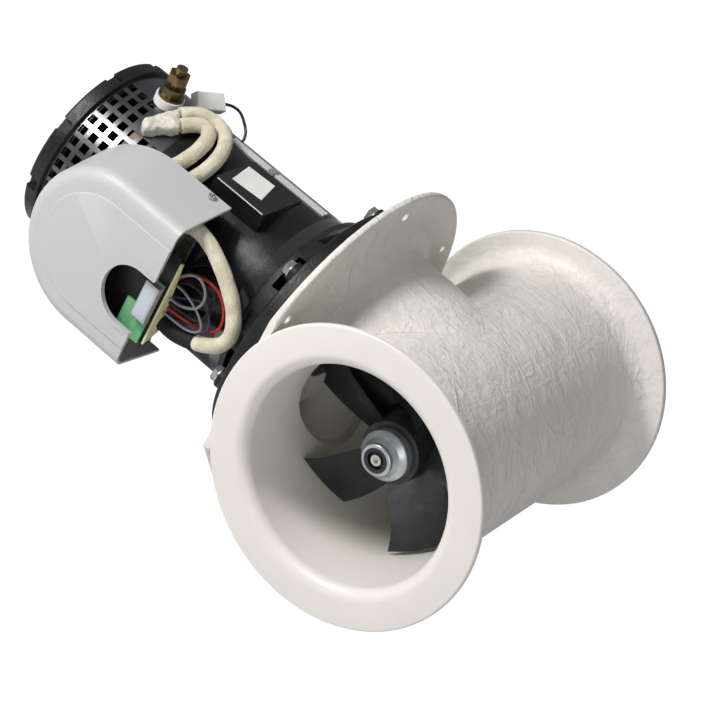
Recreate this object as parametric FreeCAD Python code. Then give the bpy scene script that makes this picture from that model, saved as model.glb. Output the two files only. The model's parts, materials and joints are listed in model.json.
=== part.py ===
"""Electric bow or stern thruster with its moulded tunnel, built as separate pieces.

Frame: millimetres, +Z up.  The tunnel runs along X and its front mouth faces -X.
The neck, the gear leg and the motor share one axis along +Y.
The origin is on that axis, in the plane of the neck flange's hull face.
Angles about the neck axis start at +X and turn towards +Z.
Angles about the tunnel axis start at +Y and turn towards +Z.
"""
import FreeCAD, Part
import math
import os

from FreeCAD import Vector

X = Vector(1, 0, 0)
Y = Vector(0, 1, 0)
Z = Vector(0, 0, 1)
NECK_TURN = Vector(0, -1, 0)

# Tunnel and neck moulding
BORE_D = 185.0
TUNNEL_WALL = 6.0
TUNNEL_FRONT = 142.0
TUNNEL_REAR = 184.0
RIM_D = 254.0
RIM_T = 6.0
FLARE_R = 17.0
LIP_R = 11.0
EDGE_R = 2.0
AXIS_DROP = 118.0
NECK_D = 208.0
NECK_BORE_D = 140.0
NECK_FILLET = 20.0
NECK_SKIRT = 50.0
NECK_FLANGE_D = 314.0
NECK_FLANGE_T = 6.0
HULL_BOLTS = 6
HULL_BOLT_EDGE = 17.0
HULL_BOLT_CIRCLE = NECK_FLANGE_D - 2 * HULL_BOLT_EDGE
HULL_HOLE_D = 9.0
HULL_HOLE_ANGLE = 30.0
FLANGE_FLAT_CUT = 10.0
FLANGE_FLAT = NECK_FLANGE_D / 2 - FLANGE_FLAT_CUT
FLANGE_FLAT_ANGLE = 222.0
SEAT_GROOVE_W = 1.4
SEAT_GROOVE_DEPTH = 0.8

# Running and seating clearances
RUN = 0.05
SEAT = 0.02
BOLT_GAP = 0.4
THREAD_GAP = 0.05

# Motor bracket
GASKET_T = 2.0
BRACKET_D = 240.0
BRACKET_RIM_H = 21.0
BRACKET_PLATE_T = 10.0
BRACKET_H = 44.0
BRACKET_RIM_W = 22.0
BRACKET_CONE_D = BRACKET_D - 2 * BRACKET_RIM_W
BRACKET_TOP_D = 182.0
BRACKET_TOP_T = 6.0
BRACKET_WALL = 8.0
BRACKET_BORE_D = 80.0
BRACKET_BOLTS = 6
BRACKET_START_ANGLE = 14.0
BRACKET_BOSS_D = 19.0
BRACKET_BOSS_H = 26.0
BRACKET_BOLT_EDGE = 12.0
BRACKET_BOLT_CIRCLE = BRACKET_D - 2 * BRACKET_BOLT_EDGE
BRACKET_BOLT_D = 8.0
BRACKET_BOLT_AF = 13.0
BRACKET_BOLT_DEPTH = 9.0
GUSSET_T = 16.0
BRACKET_WINDOW_W = 34.0
BRACKET_WINDOW_H = 13.0

# Gear leg
LEG_FLANGE_D = 124.0
LEG_FLANGE_T = 10.0
LEG_SPIGOT_H = 20.0
LEG_BOLTS = 4
LEG_BOLT_CIRCLE = 102.0
LEG_BOLT_D = 6.0
STRUT_CHORD = 51.6
STRUT_T = 44.0
POD_D = 64.0
POD_FRONT = 33.0
POD_REAR = 26.0
POD_NOSE = 20.0
POD_BORE_D = 57.0

# Bevel gears
MODULE = 2.0
PINION_TEETH = 13
GEAR_TEETH = 25
FACE_WIDTH = 8.5
PRESSURE_ANGLE = 22.5
ADDENDUM = 0.9
DEDENDUM = 1.25
BACKLASH = 0.3

# Shafts and bearings: bore, outside diameter, width
LEG_TOP_BEARING = (17.0, 40.0, 12.0)
PINION_BEARING = (15.0, 35.0, 11.0)
PROP_FRONT_BEARING = (17.0, 35.0, 10.0)
PROP_REAR_BEARING = (12.0, 28.0, 8.0)
MOTOR_DRIVE_BEARING = (20.0, 47.0, 14.0)
MOTOR_END_BEARING = (17.0, 40.0, 12.0)
SEAL_W = 5.5
PINION_BORE_D = 10.0
COUPLING_D = 52.0
JAW_COUNT = 3
JAW_ANGLE = 44.0
HUB_PLATE_T = 6.0
JAW_H = 9.5

# Propeller
PROP_TIP_D = 178.0
BLADES = 5
BLADE_ANGLE = -62.0
BLADE_T = 5.0
BLADE_EDGE_T = 1.6
BLADE_MID_X = -52.0
HUB_FRONT = 69.0
HUB_REAR = 34.0
HUB_FRONT_D = 54.0
HUB_REAR_D = 60.0
DRIVE_PIN_D = 5.0
ANODE_D = 44.0
ANODE_L = 22.0
ANODE_NOSE_D = 28.0
ANODE_RECESS_D = 15.0

# Motor
MOTOR_D = 168.0
MOTOR_WALL = 7.0
BELL_H = 14.0
CASE_L = 134.0
BAND_L = 72.0
BAND_T = 2.0
BAND_PITCH = 12.0
BAND_HOLE = 7.6
BAND_ROWS = 6
BAND_COLUMNS = 17
BAND_FIRST_ANGLE = 104.0
BAND_BLANK_COLUMNS = 3
END_RING_LIP = 4.0
END_RING_D = MOTOR_D + 2 * END_RING_LIP
END_RING_T = 14.0
END_NOTCHES = 9
POLES = 4
POLE_DEPTH = 28.0
POLE_BORE_D = MOTOR_D - 2 * POLE_DEPTH
AIR_GAP = 2.0
ARMATURE_D = POLE_BORE_D - 2 * AIR_GAP
ARMATURE_L = 86.0
ARMATURE_SLOTS = 16
COMMUTATOR_D = 68.0
COMMUTATOR_L = 36.0
COMMUTATOR_BARS = 24
SADDLE_LOW_Y = 84.0
SADDLE_HIGH_Y = 139.0
SADDLE_RISE = 2.0
BRUSH_W = 14.0
BRUSH_H = 18.0
TIE_BOLT_D = 6.0
TIE_EDGE = 14.0
TIE_CIRCLE = MOTOR_D - 2 * TIE_EDGE
BRUSH_BOX_GAP = 8.0
BRUSH_SPRING_D = 10.0

# Control box
COVER_RIM_R = 79.0
COVER_FACE_R = 72.0
COVER_WALL = 2.5
COVER_EDGE_R = 12.0
PLATEAU_R = 53.0
PLATEAU_H = 1.2
NOTCH_RIDGE_W = 4.0
COVER_OPEN_Y = 105.0
COVER_ROUND_Y = 167.0
COVER_MID_Z = 4.0
COVER_INNER_X = -69.0
COVER_OUTER_X = -136.0
NOTCH_R = 27.5
NOTCH_Y = 120.0
NOTCH_Z = -3.5
BASE_T = 4.0
CONTACTOR_TOP = 14.0
CONTACTOR_STUD_OUT = 15.0
CONTACTOR_STUD_X = -MOTOR_D / 2 - CONTACTOR_STUD_OUT
SCREW_D = 4.0

# Power leads and signal wires
CABLE_D = 13.0
WIRE_D = 2.6
CONNECTOR_L = 28.0
CONNECTOR_W = 16.5
CONNECTOR_T = 10.5
CUFF_ANGLE = 111.5
CUFF_PLANE = 75.0
CUFF_T = 12.0
STUD_D = 10.0
STUD_CORE_D = 9.0
STUD_AF = 17.0
STUD_ANGLE = 94.0
STUD_Y = 231.0
STUD_SEAT_H = 7.0
STUD_RISE = 37.4
STUD_END_R = MOTOR_D / 2 + STUD_RISE
STUD_FREE = 6.0
STUD_NUT_H = 8.0

# Levels along the neck axis
TUNNEL_Y = -AXIS_DROP
BRACKET_Y = GASKET_T
BRACKET_TOP_Y = BRACKET_Y + BRACKET_H
BELL_Y = BRACKET_TOP_Y
CASE_Y = BELL_Y + BELL_H
BAND_Y = CASE_Y + CASE_L
CAP_Y = BAND_Y + BAND_L
LEG_TOP_Y = BRACKET_Y + LEG_SPIGOT_H
JAW_Y = LEG_TOP_Y + 1.0 + HUB_PLATE_T
UPPER_HUB_Y = JAW_Y + JAW_H + 0.5
BELL_BEARING_Y = BELL_Y + 4.0
END_BEARING_Y = CAP_Y - 4.0
PINION_BEARING_Y = TUNNEL_Y + 29.5


# ---------------------------------------------------------------- helpers
def neck_cylinder(radius, low, high):
    return Part.makeCylinder(radius, high - low, Vector(0, low, 0), Y)


def neck_ring(outer, inner, low, high):
    return neck_cylinder(outer, low, high).cut(neck_cylinder(inner, low - 1, high + 1))


def tunnel_cylinder(radius, low, high):
    return Part.makeCylinder(radius, high - low, Vector(low, TUNNEL_Y, 0), X)


def tunnel_ring(outer, inner, low, high):
    return tunnel_cylinder(outer, low, high).cut(tunnel_cylinder(inner, low - 1, high + 1))


def box(low_x, high_x, low_y, high_y, low_z, high_z):
    return Part.makeBox(high_x - low_x, high_y - low_y, high_z - low_z, Vector(low_x, low_y, low_z))


def rounded_wire(points, radii, closed=True):
    """Straight runs joined by tangent arcs; a radius of 0 leaves a sharp corner."""
    count = len(points)
    corners = []
    for index, (point, radius) in enumerate(zip(points, radii)):
        end = not closed and index in (0, count - 1)
        if end or radius <= 0:
            corners.append((point, None, point))
            continue
        back = (points[index - 1] - point).normalize()
        ahead = (points[(index + 1) % count] - point).normalize()
        half = back.getAngle(ahead) / 2
        reach = radius / math.tan(half)
        middle = (back + ahead).normalize()
        centre = point + middle * (radius / math.sin(half))
        corners.append((point + back * reach, centre - middle * radius, point + ahead * reach))
    edges = []
    last = count if closed else count - 1
    for index in range(count):
        start, mid, finish = corners[index]
        if mid is not None:
            edges.append(Part.Arc(start, mid, finish).toShape())
        if index < last:
            following = corners[(index + 1) % count][0]
            if finish.distanceToPoint(following) > 1e-6:
                edges.append(Part.LineSegment(finish, following).toShape())
    return Part.Wire(edges)


def turned_about_neck(profile):
    """Profile corners are (radius, y) or (radius, y, corner radius)."""
    points = [Vector(corner[0], corner[1], 0) for corner in profile]
    radii = [corner[2] if len(corner) > 2 else 0 for corner in profile]
    face = Part.Face(rounded_wire(points, radii))
    return face.revolve(Vector(0, 0, 0), Y, 360)


def turned_about_tunnel(profile):
    """Profile corners are (x, radius) or (x, radius, corner radius)."""
    points = [Vector(corner[0], TUNNEL_Y + corner[1], 0) for corner in profile]
    radii = [corner[2] if len(corner) > 2 else 0 for corner in profile]
    face = Part.Face(rounded_wire(points, radii))
    return face.revolve(Vector(0, TUNNEL_Y, 0), X, 360)


def about_neck(shape, angle):
    copy = shape.copy()
    copy.rotate(Vector(0, 0, 0), NECK_TURN, angle)
    return copy


def about_tunnel(shape, angle):
    copy = shape.copy()
    copy.rotate(Vector(0, TUNNEL_Y, 0), X, angle)
    return copy


def ring_about_neck(shape, count, first=0.0):
    return [about_neck(shape, first + 360.0 * index / count) for index in range(count)]


def cut_all(shape, tools):
    return shape.cut(Part.makeCompound(tools))


def join(shapes):
    joined = shapes[0]
    if len(shapes) > 1:
        joined = shapes[0].multiFuse(shapes[1:])
    return joined.removeSplitter()


def side_vectors(axis):
    helper = Z if abs(axis.z) < 0.9 else X
    first = axis.cross(helper).normalize()
    return first, axis.cross(first).normalize()


def hexagon(across_flats, height, base, axis):
    first, second = side_vectors(axis)
    reach = across_flats / math.sqrt(3)
    points = []
    for index in range(6):
        angle = math.radians(60 * index)
        points.append(base + first * (reach * math.cos(angle)) + second * (reach * math.sin(angle)))
    return Part.Face(Part.makePolygon(points + points[:1])).extrude(axis * height)


def hex_bolt(diameter, across_flats, seat, length, axis):
    """The head stands above the seat along the axis and the shank runs below it."""
    washer = Part.makeCylinder(across_flats * 0.62, 1.5, seat, axis)
    head = hexagon(across_flats, diameter * 0.65, seat + axis * 1.5, axis)
    shank = Part.makeCylinder(diameter / 2, length + 1.5, seat - axis * length, axis)
    return join([washer, head, shank])


def socket_screw(diameter, seat, length, axis, head_h=None):
    height = diameter if head_h is None else head_h
    head = Part.makeCylinder(diameter * 0.8, height, seat, axis)
    shank = Part.makeCylinder(diameter / 2, length + 0.5, seat - axis * length, axis)
    socket = hexagon(diameter * 0.75, height * 0.6, seat + axis * (height * 0.4), axis)
    return join([head, shank]).cut(socket)


def tube_along(points, diameter):
    """Round tube on straight runs joined by tangent arcs."""
    radii = [0.0]
    for index in range(1, len(points) - 1):
        back = points[index - 1] - points[index]
        ahead = points[index + 1] - points[index]
        half_turn = (math.pi - back.getAngle(ahead)) / 2
        radii.append(0.45 * min(back.Length, ahead.Length) / math.tan(half_turn))
    radii.append(0.0)
    path = rounded_wire(points, radii, closed=False)
    start = (points[1] - points[0]).normalize()
    section = Part.Wire(Part.makeCircle(diameter / 2, points[0], start))
    tube = path.makePipeShell([section], True, True)
    expected = math.pi * (diameter / 2) ** 2 * path.Length
    print("tube", round(tube.Volume / expected, 4), "bend radii", [round(r, 1) for r in radii[1:-1]])
    return tube


def sector(outer, inner, half_angle, low, high, centre_angle):
    ring = neck_ring(outer, inner, low, high)
    reach = outer * 2
    left = Vector(reach * math.cos(math.radians(half_angle)), 0, reach * math.sin(math.radians(half_angle)))
    right = Vector(left.x, 0, -left.z)
    corner = Vector(0, 0, 0)
    wedge = Part.Face(Part.makePolygon([corner, left, right, corner]))
    wedge.translate(Vector(0, low - 1, 0))
    return about_neck(ring.common(wedge.extrude(Vector(0, high - low + 2, 0))), centre_angle)


# ---------------------------------------------------------------- tunnel
def tunnel_moulding():
    tube_r = BORE_D / 2 + TUNNEL_WALL
    wall = turned_about_tunnel([
        (-TUNNEL_FRONT, RIM_D / 2, EDGE_R),
        (-TUNNEL_FRONT + RIM_T, RIM_D / 2, EDGE_R),
        (-TUNNEL_FRONT + RIM_T, tube_r, FLARE_R),
        (TUNNEL_REAR - RIM_T, tube_r, FLARE_R),
        (TUNNEL_REAR - RIM_T, RIM_D / 2, EDGE_R),
        (TUNNEL_REAR, RIM_D / 2, EDGE_R),
        (TUNNEL_REAR, BORE_D / 2, LIP_R),
        (-TUNNEL_FRONT, BORE_D / 2, LIP_R),
    ])
    flange = turned_about_neck([
        (0, -NECK_SKIRT), (NECK_D / 2, -NECK_SKIRT),
        (NECK_D / 2, -NECK_FLANGE_T, NECK_FILLET),
        (NECK_FLANGE_D / 2, -NECK_FLANGE_T, EDGE_R),
        (NECK_FLANGE_D / 2, 0, EDGE_R), (0, 0),
    ])
    flange = flange.cut(box(-NECK_FLANGE_D, -TUNNEL_FRONT + RIM_T / 2, -NECK_SKIRT, 1,
                            -NECK_FLANGE_D, NECK_FLANGE_D))
    flat = box(FLANGE_FLAT, NECK_FLANGE_D, -NECK_SKIRT, 1, -NECK_FLANGE_D, NECK_FLANGE_D)
    flange = flange.cut(about_neck(flat, FLANGE_FLAT_ANGLE))
    top = Part.Wire(Part.makeCircle(NECK_D / 2, Vector(0, -NECK_SKIRT, 0), Y))
    foot_curve = Part.Ellipse(Vector(NECK_D / 2, TUNNEL_Y, 0), Vector(0, TUNNEL_Y, tube_r - 0.5),
                              Vector(0, TUNNEL_Y, 0))
    skirt = Part.makeLoft([Part.Wire(foot_curve.toShape()), top], True, True)
    bore = tunnel_cylinder(BORE_D / 2, -TUNNEL_FRONT - 1, TUNNEL_REAR + 1)
    moulding = join([wall, flange, skirt])
    moulding = moulding.cut(bore.fuse(neck_cylinder(NECK_BORE_D / 2, TUNNEL_Y, 1)))
    moulding = moulding.fuse(wall.cut(neck_cylinder(NECK_BORE_D / 2, TUNNEL_Y, 1))).removeSplitter()
    hole = Part.makeCylinder(HULL_HOLE_D / 2, NECK_FLANGE_T * 3,
                             Vector(HULL_BOLT_CIRCLE / 2, -NECK_FLANGE_T * 2, 0), Y)
    insert = Part.makeCylinder(BRACKET_BOLT_D / 2 + THREAD_GAP, BRACKET_BOLT_DEPTH + 1,
                               Vector(BRACKET_BOLT_CIRCLE / 2, -BRACKET_BOLT_DEPTH, 0), Y)
    holes = ring_about_neck(hole, HULL_BOLTS, HULL_HOLE_ANGLE)
    inserts = ring_about_neck(insert, BRACKET_BOLTS, BRACKET_START_ANGLE)
    groove_r = BRACKET_D / 2 + 0.3
    groove = neck_ring(groove_r + SEAT_GROOVE_W, groove_r, -SEAT_GROOVE_DEPTH, 1)
    rim_clear = box(-TUNNEL_FRONT, -TUNNEL_FRONT + RIM_T + 1, -5, 5, -RIM_D, RIM_D)
    return cut_all(moulding, holes + inserts + [groove.cut(rim_clear)])


def bracket_gasket():
    ring = neck_ring(BRACKET_D / 2, NECK_BORE_D / 2, 0, GASKET_T)
    hole = Part.makeCylinder(BRACKET_BOLT_D / 2 + BOLT_GAP, GASKET_T + 2,
                             Vector(BRACKET_BOLT_CIRCLE / 2, -1, 0), Y)
    return cut_all(ring, ring_about_neck(hole, BRACKET_BOLTS, BRACKET_START_ANGLE))


# ---------------------------------------------------------------- bracket and leg
def motor_bracket():
    low = BRACKET_Y
    rim_top = low + BRACKET_RIM_H
    top = BRACKET_TOP_Y
    bore = BRACKET_BORE_D / 2
    body = turned_about_neck([
        (bore, low), (BRACKET_D / 2, low), (BRACKET_D / 2, rim_top, 3), (BRACKET_CONE_D / 2, rim_top),
        (BRACKET_TOP_D / 2, top, 2), (bore, top), (bore, top - BRACKET_TOP_T),
        (BRACKET_TOP_D / 2 - BRACKET_WALL, top - BRACKET_TOP_T, 3),
        (BRACKET_CONE_D / 2 - BRACKET_WALL, low + BRACKET_PLATE_T, 3), (bore, low + BRACKET_PLATE_T),
    ])
    gusset_face = Part.Face(Part.makePolygon([
        Vector(BRACKET_TOP_D / 2 - 4, top - 2, 0), Vector(BRACKET_D / 2 - 3, rim_top, 0),
        Vector(BRACKET_D / 2 - 3, rim_top - 2, 0), Vector(BRACKET_TOP_D / 2 - 4, rim_top - 2, 0),
        Vector(BRACKET_TOP_D / 2 - 4, top - 2, 0)]))
    gusset_face.translate(Vector(0, 0, -GUSSET_T / 2))
    gusset = gusset_face.extrude(Vector(0, 0, GUSSET_T))
    window = box(BRACKET_BORE_D, BRACKET_D, rim_top + 3, rim_top + 3 + BRACKET_WINDOW_H,
                 -BRACKET_WINDOW_W / 2, BRACKET_WINDOW_W / 2)
    bolt_hole = Part.makeCylinder(BRACKET_BOLT_D / 2 + BOLT_GAP, BRACKET_RIM_H * 2,
                                  Vector(BRACKET_BOLT_CIRCLE / 2, low - 1, 0), Y)
    leg_hole = Part.makeCylinder(LEG_BOLT_D / 2 + BOLT_GAP, BRACKET_PLATE_T + 2,
                                 Vector(LEG_BOLT_CIRCLE / 2, low - 1, 0), Y)
    boss = Part.makeCylinder(BRACKET_BOSS_D / 2, BRACKET_BOSS_H,
                             Vector(BRACKET_BOLT_CIRCLE / 2, low, 0), Y)
    gussets = ring_about_neck(gusset, BRACKET_BOLTS, BRACKET_START_ANGLE + 180.0 / BRACKET_BOLTS)
    bosses = ring_about_neck(boss, BRACKET_BOLTS, BRACKET_START_ANGLE)
    windows = ring_about_neck(window, BRACKET_BOLTS, BRACKET_START_ANGLE)
    body = join([cut_all(join([body] + gussets), windows)] + bosses)
    return cut_all(body, ring_about_neck(bolt_hole, BRACKET_BOLTS, BRACKET_START_ANGLE)
                   + ring_about_neck(leg_hole, LEG_BOLTS, 45))


def bracket_bolts():
    seat = Vector(BRACKET_BOLT_CIRCLE / 2, BRACKET_Y + BRACKET_BOSS_H, 0)
    length = BRACKET_BOSS_H + GASKET_T + BRACKET_BOLT_DEPTH - 1
    bolt = hex_bolt(BRACKET_BOLT_D, BRACKET_BOLT_AF, seat, length, Y)
    return Part.makeCompound(ring_about_neck(bolt, BRACKET_BOLTS, BRACKET_START_ANGLE))


def leg_bolts():
    seat = Vector(LEG_BOLT_CIRCLE / 2, BRACKET_Y + BRACKET_PLATE_T, 0)
    bolt = socket_screw(LEG_BOLT_D, seat, BRACKET_PLATE_T + LEG_FLANGE_T - 3, Y)
    return Part.makeCompound(ring_about_neck(bolt, LEG_BOLTS, 45))


def strut_prism():
    outline = Part.Ellipse(Vector(STRUT_CHORD / 2, TUNNEL_Y, 0), Vector(0, TUNNEL_Y, STRUT_T / 2),
                           Vector(0, TUNNEL_Y, 0))
    face = Part.Face(Part.Wire(outline.toShape()))
    return face.extrude(Vector(0, AXIS_DROP + BRACKET_Y - LEG_FLANGE_T + 1, 0))


def gear_leg():
    top_bore, top_outer, top_width = LEG_TOP_BEARING
    low_outer = PINION_BEARING[1]
    front_outer, front_width = PROP_FRONT_BEARING[1:]
    flange_y = BRACKET_Y - LEG_FLANGE_T
    head = turned_about_neck([
        (0, flange_y), (LEG_FLANGE_D / 2, flange_y, 2), (LEG_FLANGE_D / 2, BRACKET_Y),
        (BRACKET_BORE_D / 2 - SEAT, BRACKET_Y), (BRACKET_BORE_D / 2 - SEAT, LEG_TOP_Y, 1), (0, LEG_TOP_Y)])
    pod = turned_about_tunnel([
        (-POD_FRONT, 0), (-POD_FRONT, POD_D / 2, 2), (POD_REAR, POD_D / 2), (POD_REAR, 0)])
    body = join([head, strut_prism(), pod])
    cavity_front = 1.0
    pinion_room = neck_cylinder(PINION_TEETH * MODULE / 2 + 3.2, TUNNEL_Y, PINION_BEARING_Y)
    cuts = [
        tunnel_cylinder(POD_BORE_D / 2, cavity_front, POD_REAR + 1),
        tunnel_cylinder(front_outer / 2 + SEAT, -POD_FRONT - 1, -POD_FRONT + SEAL_W + 0.5 + front_width),
        tunnel_cylinder(12, -POD_FRONT, cavity_front + 1),
        pinion_room,
        neck_cylinder(low_outer / 2 + SEAT, PINION_BEARING_Y - 0.5, PINION_BEARING_Y + PINION_BEARING[2]),
        neck_cylinder(top_bore / 2 + 1.5, PINION_BEARING_Y, LEG_TOP_Y),
        neck_cylinder(top_outer / 2 + SEAT, BRACKET_Y, LEG_TOP_Y + 1),
    ]
    thread = Part.makeCylinder(LEG_BOLT_D / 2 + THREAD_GAP, LEG_FLANGE_T,
                               Vector(LEG_BOLT_CIRCLE / 2, flange_y + 2, 0), Y)
    return cut_all(cut_all(body, cuts), ring_about_neck(thread, LEG_BOLTS, 45))


def gear_case_cap():
    rear_bore, rear_outer, rear_width = PROP_REAR_BEARING
    start = bearing_rear_x()
    radius = POD_D / 2
    body = turned_about_tunnel([
        (start, 0), (start, POD_BORE_D / 2 - SEAT), (POD_REAR, POD_BORE_D / 2 - SEAT),
        (POD_REAR, radius), (POD_REAR + 3, radius, 3), (POD_REAR + POD_NOSE * 0.75, radius * 0.66, 8),
        (POD_REAR + POD_NOSE, radius * 0.25, 4), (POD_REAR + POD_NOSE, 0)])
    pocket = tunnel_cylinder(rear_outer / 2 + SEAT, start - 1, start + rear_width + 1)
    spanner_hole = Part.makeCylinder(2, 12, Vector(POD_REAR + POD_NOSE * 0.6, TUNNEL_Y, radius * 0.62), X)
    return cut_all(body, [pocket] + [about_tunnel(spanner_hole, 180 * turn) for turn in range(2)])


# ---------------------------------------------------------------- bevel gears
def gear_geometry(teeth, mate):
    cone = math.atan2(teeth, mate)
    pitch_r = MODULE * teeth / 2
    pitch_h = MODULE * mate / 2
    distance = math.hypot(pitch_r, pitch_h)
    return cone, pitch_r, pitch_h, (distance - FACE_WIDTH) / distance


def tooth_outline(teeth, cone, pitch_r):
    """Half-width against height above the pitch cone, for the equivalent spur tooth."""
    virtual_r = pitch_r / math.cos(cone)
    angle = math.radians(PRESSURE_ANGLE)
    base_r = virtual_r * math.cos(angle)
    half = (math.pi * MODULE / 2 - BACKLASH) / 2 / virtual_r
    involute = math.tan(angle) - angle
    root = virtual_r - DEDENDUM * MODULE
    tip = virtual_r + ADDENDUM * MODULE
    outline = []
    for radius in (root, (root + virtual_r) / 2, virtual_r, (virtual_r + tip) / 2, tip):
        slope = math.acos(min(1.0, base_r / radius))
        turn = half + involute - (math.tan(slope) - slope)
        outline.append((radius * math.cos(turn) - virtual_r, radius * math.sin(turn)))
    return outline


def flat_face(points):
    return Part.Face(Part.makePolygon(points + points[:1]))


def bevel_gear(teeth, mate, axis, zero, back, hub, bore_r, phase):
    """Straight bevel gear; the cone's apex is where the two shafts cross.

    back and hub are (radius, height) of the blank's rear rim and of the hub's rear face.
    """
    apex = Vector(0, TUNNEL_Y, 0)
    across = axis.cross(zero)
    cone, pitch_r, pitch_h, inner = gear_geometry(teeth, mate)
    outline = tooth_outline(teeth, cone, pitch_r)
    outline = outline + [(rise, -width) for rise, width in outline[::-1]]
    outer = []
    rear = []
    for index in range(teeth):
        turn = math.radians(360.0 * (index + phase) / teeth)
        radial = zero * math.cos(turn) + across * math.sin(turn)
        side = axis.cross(radial)
        corners = []
        for rise, width in outline:
            radius = pitch_r + rise * math.cos(cone)
            corners.append(radial * radius + axis * (pitch_h - rise * math.sin(cone)) + side * width)
        outer.append(corners)
        for corner in (corners[-1], corners[0]):
            flat = corner - axis * corner.dot(axis)
            rear.append(flat.normalize() * back[0] + axis * back[1])
    faces = []
    roots = []
    for index in range(teeth):
        corners = outer[index]
        following = outer[(index + 1) % teeth]
        faces.append(flat_face([apex + corner for corner in corners]))
        faces.append(flat_face([apex + corner * inner for corner in corners]))
        for first, second in zip(corners, corners[1:]):
            faces.append(flat_face([apex + first, apex + second, apex + second * inner, apex + first * inner]))
        first, second = corners[0], following[-1]
        faces.append(flat_face([apex + first, apex + second, apex + second * inner, apex + first * inner]))
        roots += [corners[-1], corners[0]]
    for index in range(len(roots)):
        after = (index + 1) % len(roots)
        faces.append(flat_face([apex + roots[index], apex + roots[after], apex + rear[after], apex + rear[index]]))
    faces.append(flat_face([apex + corner for corner in rear]))
    faces.append(flat_face([apex + corner * inner for corner in roots]))
    shell = Part.makeShell(faces)
    shell.sewShape()
    body = Part.makeSolid(shell)
    if body.Volume < 0:
        body.reverse()
    if hub[1] > back[1]:
        body = body.fuse(Part.makeCylinder(hub[0], hub[1] - back[1] + 2, apex + axis * (back[1] - 2), axis))
    bore = Part.makeCylinder(bore_r, hub[1] + back[1], apex, axis)
    return body.cut(bore).removeSplitter()


def pinion_back_h():
    return GEAR_TEETH * MODULE / 2 + 4.3


def bevel_pinion():
    rim = (PINION_TEETH * MODULE / 2 - 2.3, pinion_back_h())
    return bevel_gear(PINION_TEETH, GEAR_TEETH, Y, X, rim, rim, PINION_BORE_D / 2 + SEAT, 0.0)


def bevel_gear_wheel():
    shaft_r = PROP_FRONT_BEARING[0] / 2
    rim = (GEAR_TEETH * MODULE / 2 - 1.2, 18.0)
    hub = (shaft_r + 6, gear_back_x())
    return bevel_gear(GEAR_TEETH, PINION_TEETH, X, Y, rim, hub, shaft_r + SEAT, 0.5)


def gear_back_x():
    return PINION_TEETH * MODULE / 2 + 9.5


def bearing_rear_x():
    return gear_back_x() + 0.5


# ---------------------------------------------------------------- shafts and bearings
def drive_shaft():
    pinion_r = PINION_BORE_D / 2
    low_r = PINION_BEARING[0] / 2
    top_r = LEG_TOP_BEARING[0] / 2
    low_y = TUNNEL_Y + pinion_back_h()
    return turned_about_neck([
        (0, TUNNEL_Y + 14), (pinion_r, TUNNEL_Y + 14, 1), (pinion_r, low_y), (low_r, low_y),
        (low_r, PINION_BEARING_Y + PINION_BEARING[2]), (top_r, PINION_BEARING_Y + PINION_BEARING[2] + 1),
        (top_r, JAW_Y - 1), (0, JAW_Y - 1)])


def propeller_shaft():
    front_r = PROP_FRONT_BEARING[0] / 2
    rear_r = PROP_REAR_BEARING[0] / 2
    thread_r = 5.0
    nut_seat = HUB_FRONT - 7
    rear = bearing_rear_x()
    shaft = turned_about_tunnel([
        (-nut_seat - 14, 0), (-nut_seat - 14, thread_r, 0.8), (-nut_seat, thread_r), (-nut_seat, front_r),
        (rear, front_r), (rear, rear_r), (rear + PROP_REAR_BEARING[2], rear_r, 0.8),
        (rear + PROP_REAR_BEARING[2], 0)])
    tapped = tunnel_cylinder(3 + THREAD_GAP, -nut_seat - 15, -nut_seat)
    pin_hole = Part.makeCylinder(DRIVE_PIN_D / 2 + SEAT, 40, Vector(-drive_pin_x(), TUNNEL_Y, -20), Z)
    return cut_all(shaft, [tapped, pin_hole])


def drive_pin_x():
    return HUB_REAR + 5.0


def drive_pin():
    return Part.makeCylinder(DRIVE_PIN_D / 2, 40, Vector(-drive_pin_x(), TUNNEL_Y, -20), Z)


def bearing_places():
    """Each bearing as (kind, size, low level, along the neck or the tunnel)."""
    return {
        "leg_top": (LEG_TOP_BEARING, BRACKET_Y, neck_ring),
        "pinion": (PINION_BEARING, PINION_BEARING_Y, neck_ring),
        "motor_drive": (MOTOR_DRIVE_BEARING, BELL_BEARING_Y, neck_ring),
        "motor_end": (MOTOR_END_BEARING, END_BEARING_Y, neck_ring),
        "prop_front": (PROP_FRONT_BEARING, -POD_FRONT + SEAL_W + 0.5, tunnel_ring),
        "prop_rear": (PROP_REAR_BEARING, bearing_rear_x(), tunnel_ring),
    }


def bearing_ring(name, outer_race):
    (bore, outside, width), low, ring = bearing_places()[name]
    middle = bore / 2 + (outside - bore) * 0.16
    if outer_race:
        return ring(outside / 2, middle + RUN, low, low + width)
    return ring(middle, bore / 2 + SEAT, low, low + width)


def bearing_outer_races():
    return Part.makeCompound([bearing_ring(name, True) for name in bearing_places()])


def armature_bearing_races():
    names = ("leg_top", "pinion", "motor_drive", "motor_end")
    return Part.makeCompound([bearing_ring(name, False) for name in names])


def propeller_bearing_races():
    return Part.makeCompound([bearing_ring(name, False) for name in ("prop_front", "prop_rear")])


def shaft_seals():
    leg_seal_y = BRACKET_Y + LEG_TOP_BEARING[2] + 0.3
    upper = neck_ring(LEG_TOP_BEARING[1] / 2, LEG_TOP_BEARING[0] / 2 + RUN, leg_seal_y, leg_seal_y + SEAL_W)
    front = tunnel_ring(PROP_FRONT_BEARING[1] / 2, PROP_FRONT_BEARING[0] / 2 + RUN,
                        -POD_FRONT + 0.2, -POD_FRONT + 0.2 + SEAL_W)
    return Part.makeCompound([upper, front])


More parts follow.
